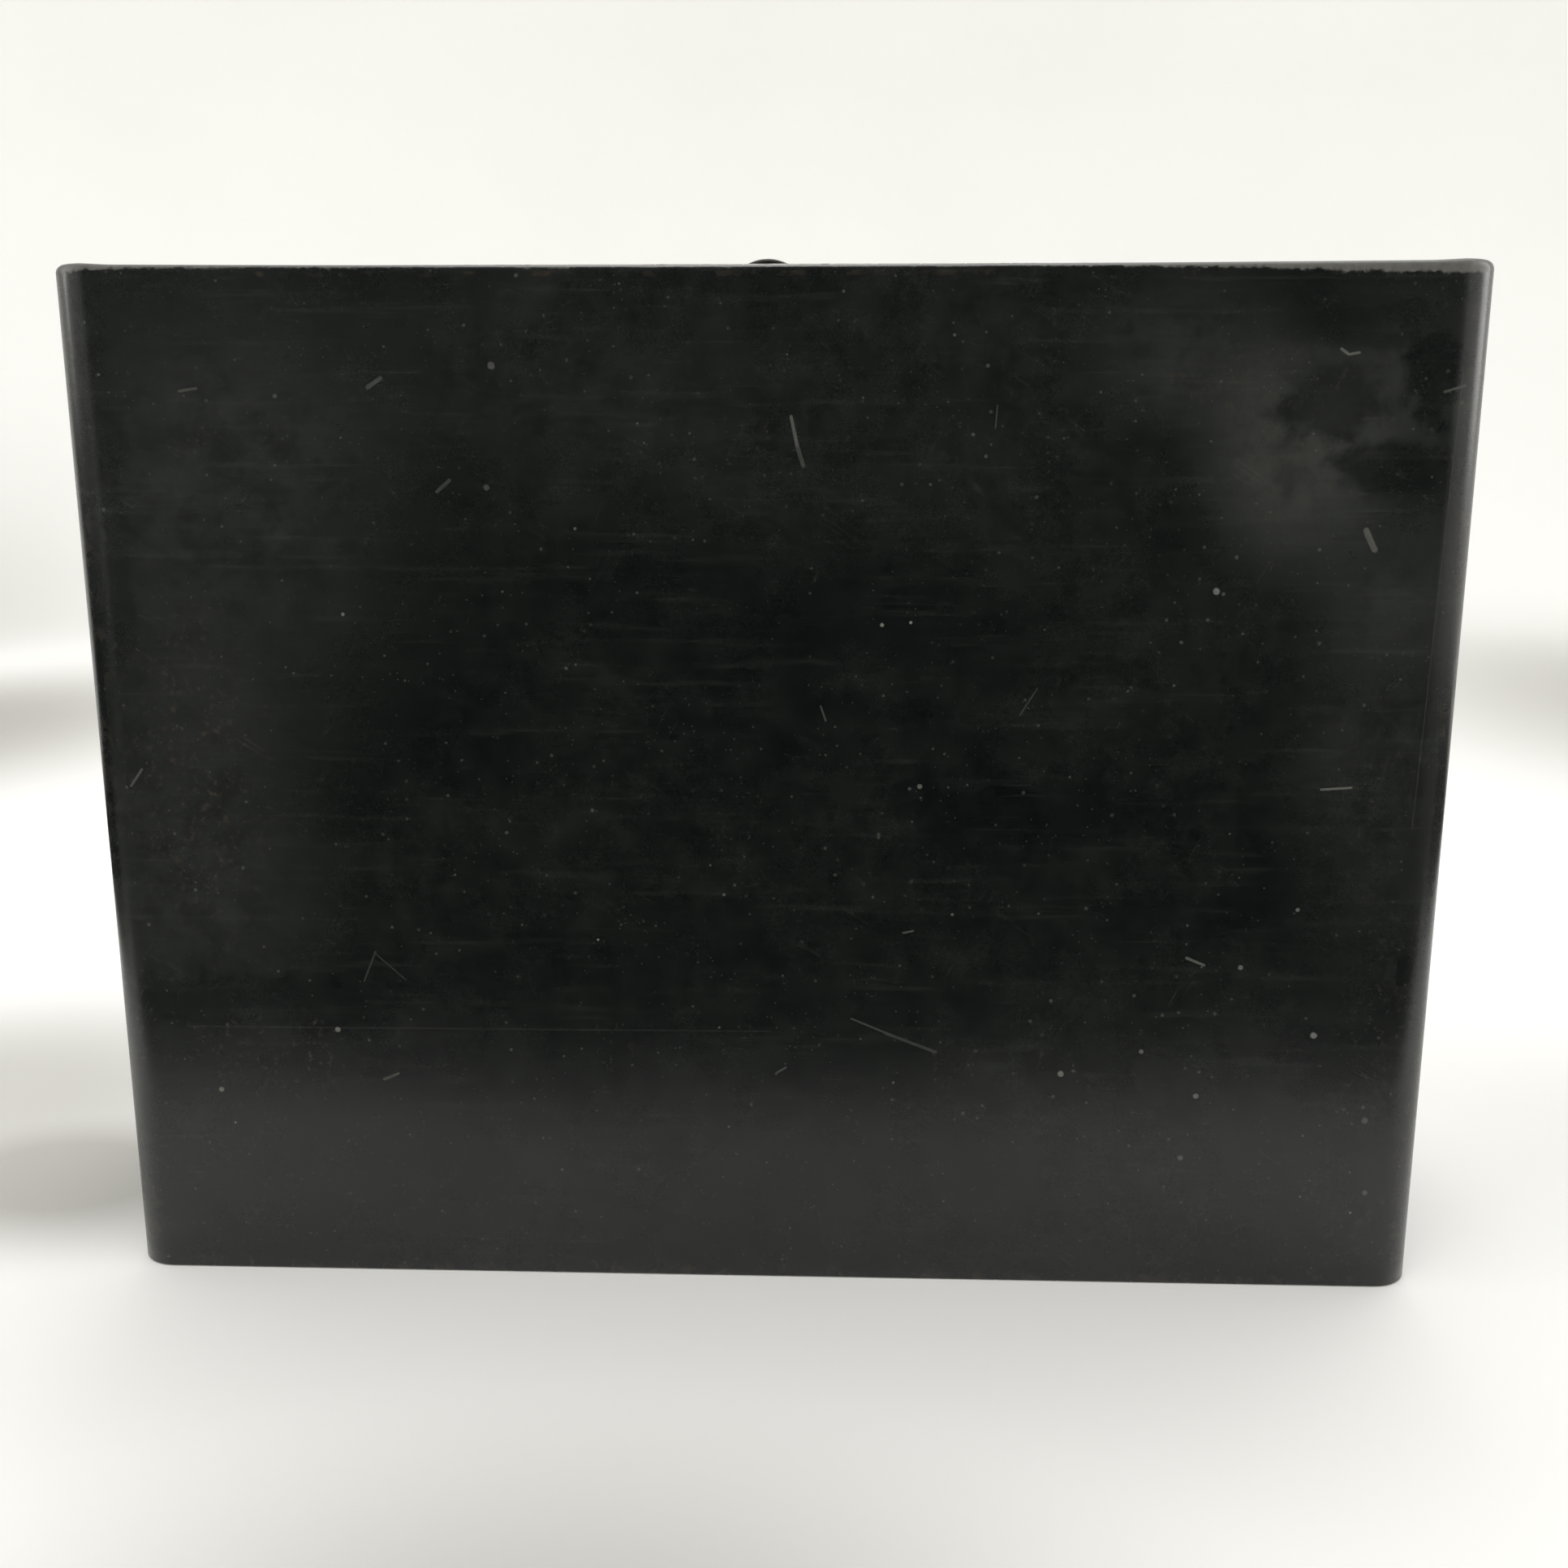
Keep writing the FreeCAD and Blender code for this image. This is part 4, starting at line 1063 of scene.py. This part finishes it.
def wing_edges(coat):
    """The rim of the half-round wing, and the collar's rub ring."""
    low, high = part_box("thumb_turn")
    x, y = middle("thumb_turn")[:2]
    radius = (high.x - low.x) / 2 / MM
    away = coat.oval(coat.place, (x, 0, high.z / MM - radius), (1, 0, 1))
    rim = away.step(radius - 1.6, radius - 0.2)
    face = abs(coat.y - y).step(0.8, 1.5)
    return rim * (0.35 + face * 0.65) * 0.9


dress("latch_rose", latch_lacquer("rose_lacquer", 3.0, box_edges("latch_rose", 1.0)))
dress("thumb_turn", latch_lacquer("wing_lacquer", 6.0, wing_edges))

rose_low, rose_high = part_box("latch_rose")
rose_x, rose_y = middle("latch_rose")[:2]
SMALL_SHANK = 1.2
ROSE_RIVET_X = 14.5


def head_crowns(coat):
    return coat.z.step(rose_high.z / MM + 0.3, rose_high.z / MM + 0.9)


rivets("rose_rivet_heads", "rose_rivets",
       latch_lacquer("rose_rivet_lacquer", 9.0, head_crowns), 12,
       [((rose_x + x, rose_y, rose_high.z / MM), (0, 0, 1)) for x in (-ROSE_RIVET_X, ROSE_RIVET_X)],
       SMALL_SHANK, SHEET + (rose_high.z - rose_low.z) / MM)

# ----------------------------------------------
# Latch under the lid: on the spindle come a plain washer, a split spring washer, a sleeve, the
# cam and its nut, all of bright zinc-plated steel.
for number, piece in enumerate(("latch_washer", "spring_washer", "latch_sleeve", "latch_cam",
                                "latch_nut")):
    dress(piece, zinc_steel(piece + "_zinc", 20.0 + 3 * number))


# ----------------------------------------------
# Label holder: a three-sided frame pressed from thin sheet and nickel-plated, held by four small
# rivets. The plate has yellowed, and is pitted where it was never polished.
def nickel(name, seed, worn):
    """Satin nickel plate, tarnished. worn gives 1 where handling keeps it bright."""
    plate = Finish(name)
    cloud = plate.noise(8.0, seed, detail=5.0, rough=0.62)
    grain = plate.noise(0.6, seed + 1, detail=3.0)
    pits = plate.cells(1.6, seed).step(0.16, 0.08) * cloud.step(0.5, 0.62)
    tarnish = cloud.step(0.32, 0.68) * (1 - worn(plate) * 0.7)
    colour = plate.mix(tarnish, (0.62, 0.60, 0.56), (0.36, 0.315, 0.235))
    colour = plate.mix(pits, colour, (0.075, 0.045, 0.025))
    return plate.close(Base_Color=colour, Metallic=1 - pits * 0.9,
                       Roughness=0.24 + tarnish * 0.16 + pits * 0.35 + grain * 0.05,
                       Normal=plate.bump(grain * 0.3 - pits, 0.04))


dress("label_holder", nickel("holder_nickel", 2.0, box_edges("label_holder", 1.2)))

HOLDER_SHEET = 0.8
holder_z = middle("label_holder")[2]
EAR_Y = 33.5
EAR_RIVET_Z = 18


def left_heads(plate):
    """Crowns of rivet heads on the labelled end, which stand out towards -X."""
    return (plate.x + box_half_x).step(-1.2, -2.0)


rivets("holder_rivet_heads", "label_holder_rivets",
       nickel("holder_rivet_nickel", 5.0, left_heads), 15,
       [((-box_half_x - HOLDER_SHEET, y, holder_z + z), (-1, 0, 0))
        for y in (-EAR_Y, EAR_Y) for z in (-EAR_RIVET_Z, EAR_RIVET_Z)],
       SMALL_SHANK, SHEET + HOLDER_SHEET)

# Blank label: thin cream card that stands a little bowed in the holder, browned along its edges.
CARD_THICK = 0.35
CARD_BOW = 0.18
CARD_LIFT = 0.25            # of the corner that has curled
CARD_BROWN = 4.0            # how far in from its edges the card has browned


def card_mesh():
    low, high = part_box("label_card")
    middle_x = middle("label_card")[0]
    half_y = (high.y - low.y) / 2 / MM
    bottom = low.z / MM
    tall = (high.z - low.z) / MM
    columns, rows = 24, 18
    verts = []
    for side in (-1, 1):
        for row in range(rows + 1):
            for column in range(columns + 1):
                across = column / columns * 2 - 1
                up = row / rows
                bow = CARD_BOW * (1 - across ** 2) * (0.4 + 0.6 * up)
                lift = CARD_LIFT * smooth(across + up, 1.55, 2.0)
                x = middle_x - bow + side * CARD_THICK / 2 + CARD_BOW / 2 - lift * 0.3
                verts.append((x * MM, across * half_y * MM, (bottom + up * tall) * MM))
    wide = columns + 1
    count = wide * (rows + 1)
    faces = []
    for row in range(rows):
        for column in range(columns):
            a = row * wide + column
            faces.append((a, a + wide, a + wide + 1, a + 1))
            faces.append((a + count, a + count + 1, a + count + wide + 1, a + count + wide))
    border = list(range(wide)) + [row * wide + columns for row in range(1, rows + 1)]
    border += [rows * wide + column for column in range(columns - 1, -1, -1)]
    border += [row * wide for row in range(rows - 1, 0, -1)]
    for a, b in zip(border, border[1:] + border[:1]):
        faces.append((a, b, b + count, a + count))
    data = new_mesh("blank_card", verts, faces)
    face_outward(data)
    return shaded(data, 40)


def aged_card():
    paper = Finish("aged_card")
    fibre = paper.noise(0.5, 1.0, detail=4.0, stretch=(1.0, 0.4, 1.0))
    cloud = paper.noise(16.0, 2.0, detail=4.0)
    fox = paper.cells(7.0, 3.0).step(0.14, 0.03) * paper.noise(15.0, 4.0).step(0.5, 0.6)
    low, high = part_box("label_card")
    half_z = (high.z - low.z) / 2 / MM
    rim = abs(paper.y).step(high.y / MM - CARD_BROWN, high.y / MM)
    away = abs(paper.z - middle("label_card")[2])
    rim = rim.most(away.step(half_z - CARD_BROWN, half_z))
    colour = paper.mix(cloud.step(0.3, 0.7), (0.74, 0.68, 0.54), (0.66, 0.585, 0.43))
    colour = paper.mix(rim * 0.55 * (0.5 + cloud), colour, (0.44, 0.335, 0.20))
    colour = paper.mix(fox * 0.5, colour, (0.35, 0.22, 0.10))
    colour = paper.mix(fibre * 0.12, colour, (0.30, 0.25, 0.17))
    return paper.close(Base_Color=colour, Roughness=0.85, Specular_IOR_Level=0.25,
                       Normal=paper.bump(fibre, 0.03))


blank_card = put("blank_card", card_mesh())
blank_card.data.materials.append(aged_card())
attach(blank_card, "card")
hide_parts("label_card")


# ----------------------------------------------
# Drop pull: a cast backplate with two lugs, riveted under the label, and a bail of bent rod that
# hangs from the lugs. Nickel-plated like the holder, and kept bright where fingers hook it.
def bail_grip(plate):
    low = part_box("pull_bail")[0].z / MM
    return plate.z.step(low + 12.0, low + 5.0)


dress("pull_plate", nickel("plate_nickel", 8.0, box_edges("pull_plate", 1.5)))
dress("pull_bail", nickel("bail_nickel", 11.0, bail_grip))
PLATE = 1.2
PULL_RIVET_UP = 4.0
PULL_RIVET_Y = 10.0
pull_z = middle("pull_plate")[2]
rivets("pull_rivet_heads", "pull_rivets",
       nickel("pull_rivet_nickel", 14.0, left_heads), 18,
       [((-box_half_x - PLATE, y, pull_z + PULL_RIVET_UP), (-1, 0, 0))
        for y in (-PULL_RIVET_Y, PULL_RIVET_Y)],
       LEDGE_SHANK, SHEET + PLATE)
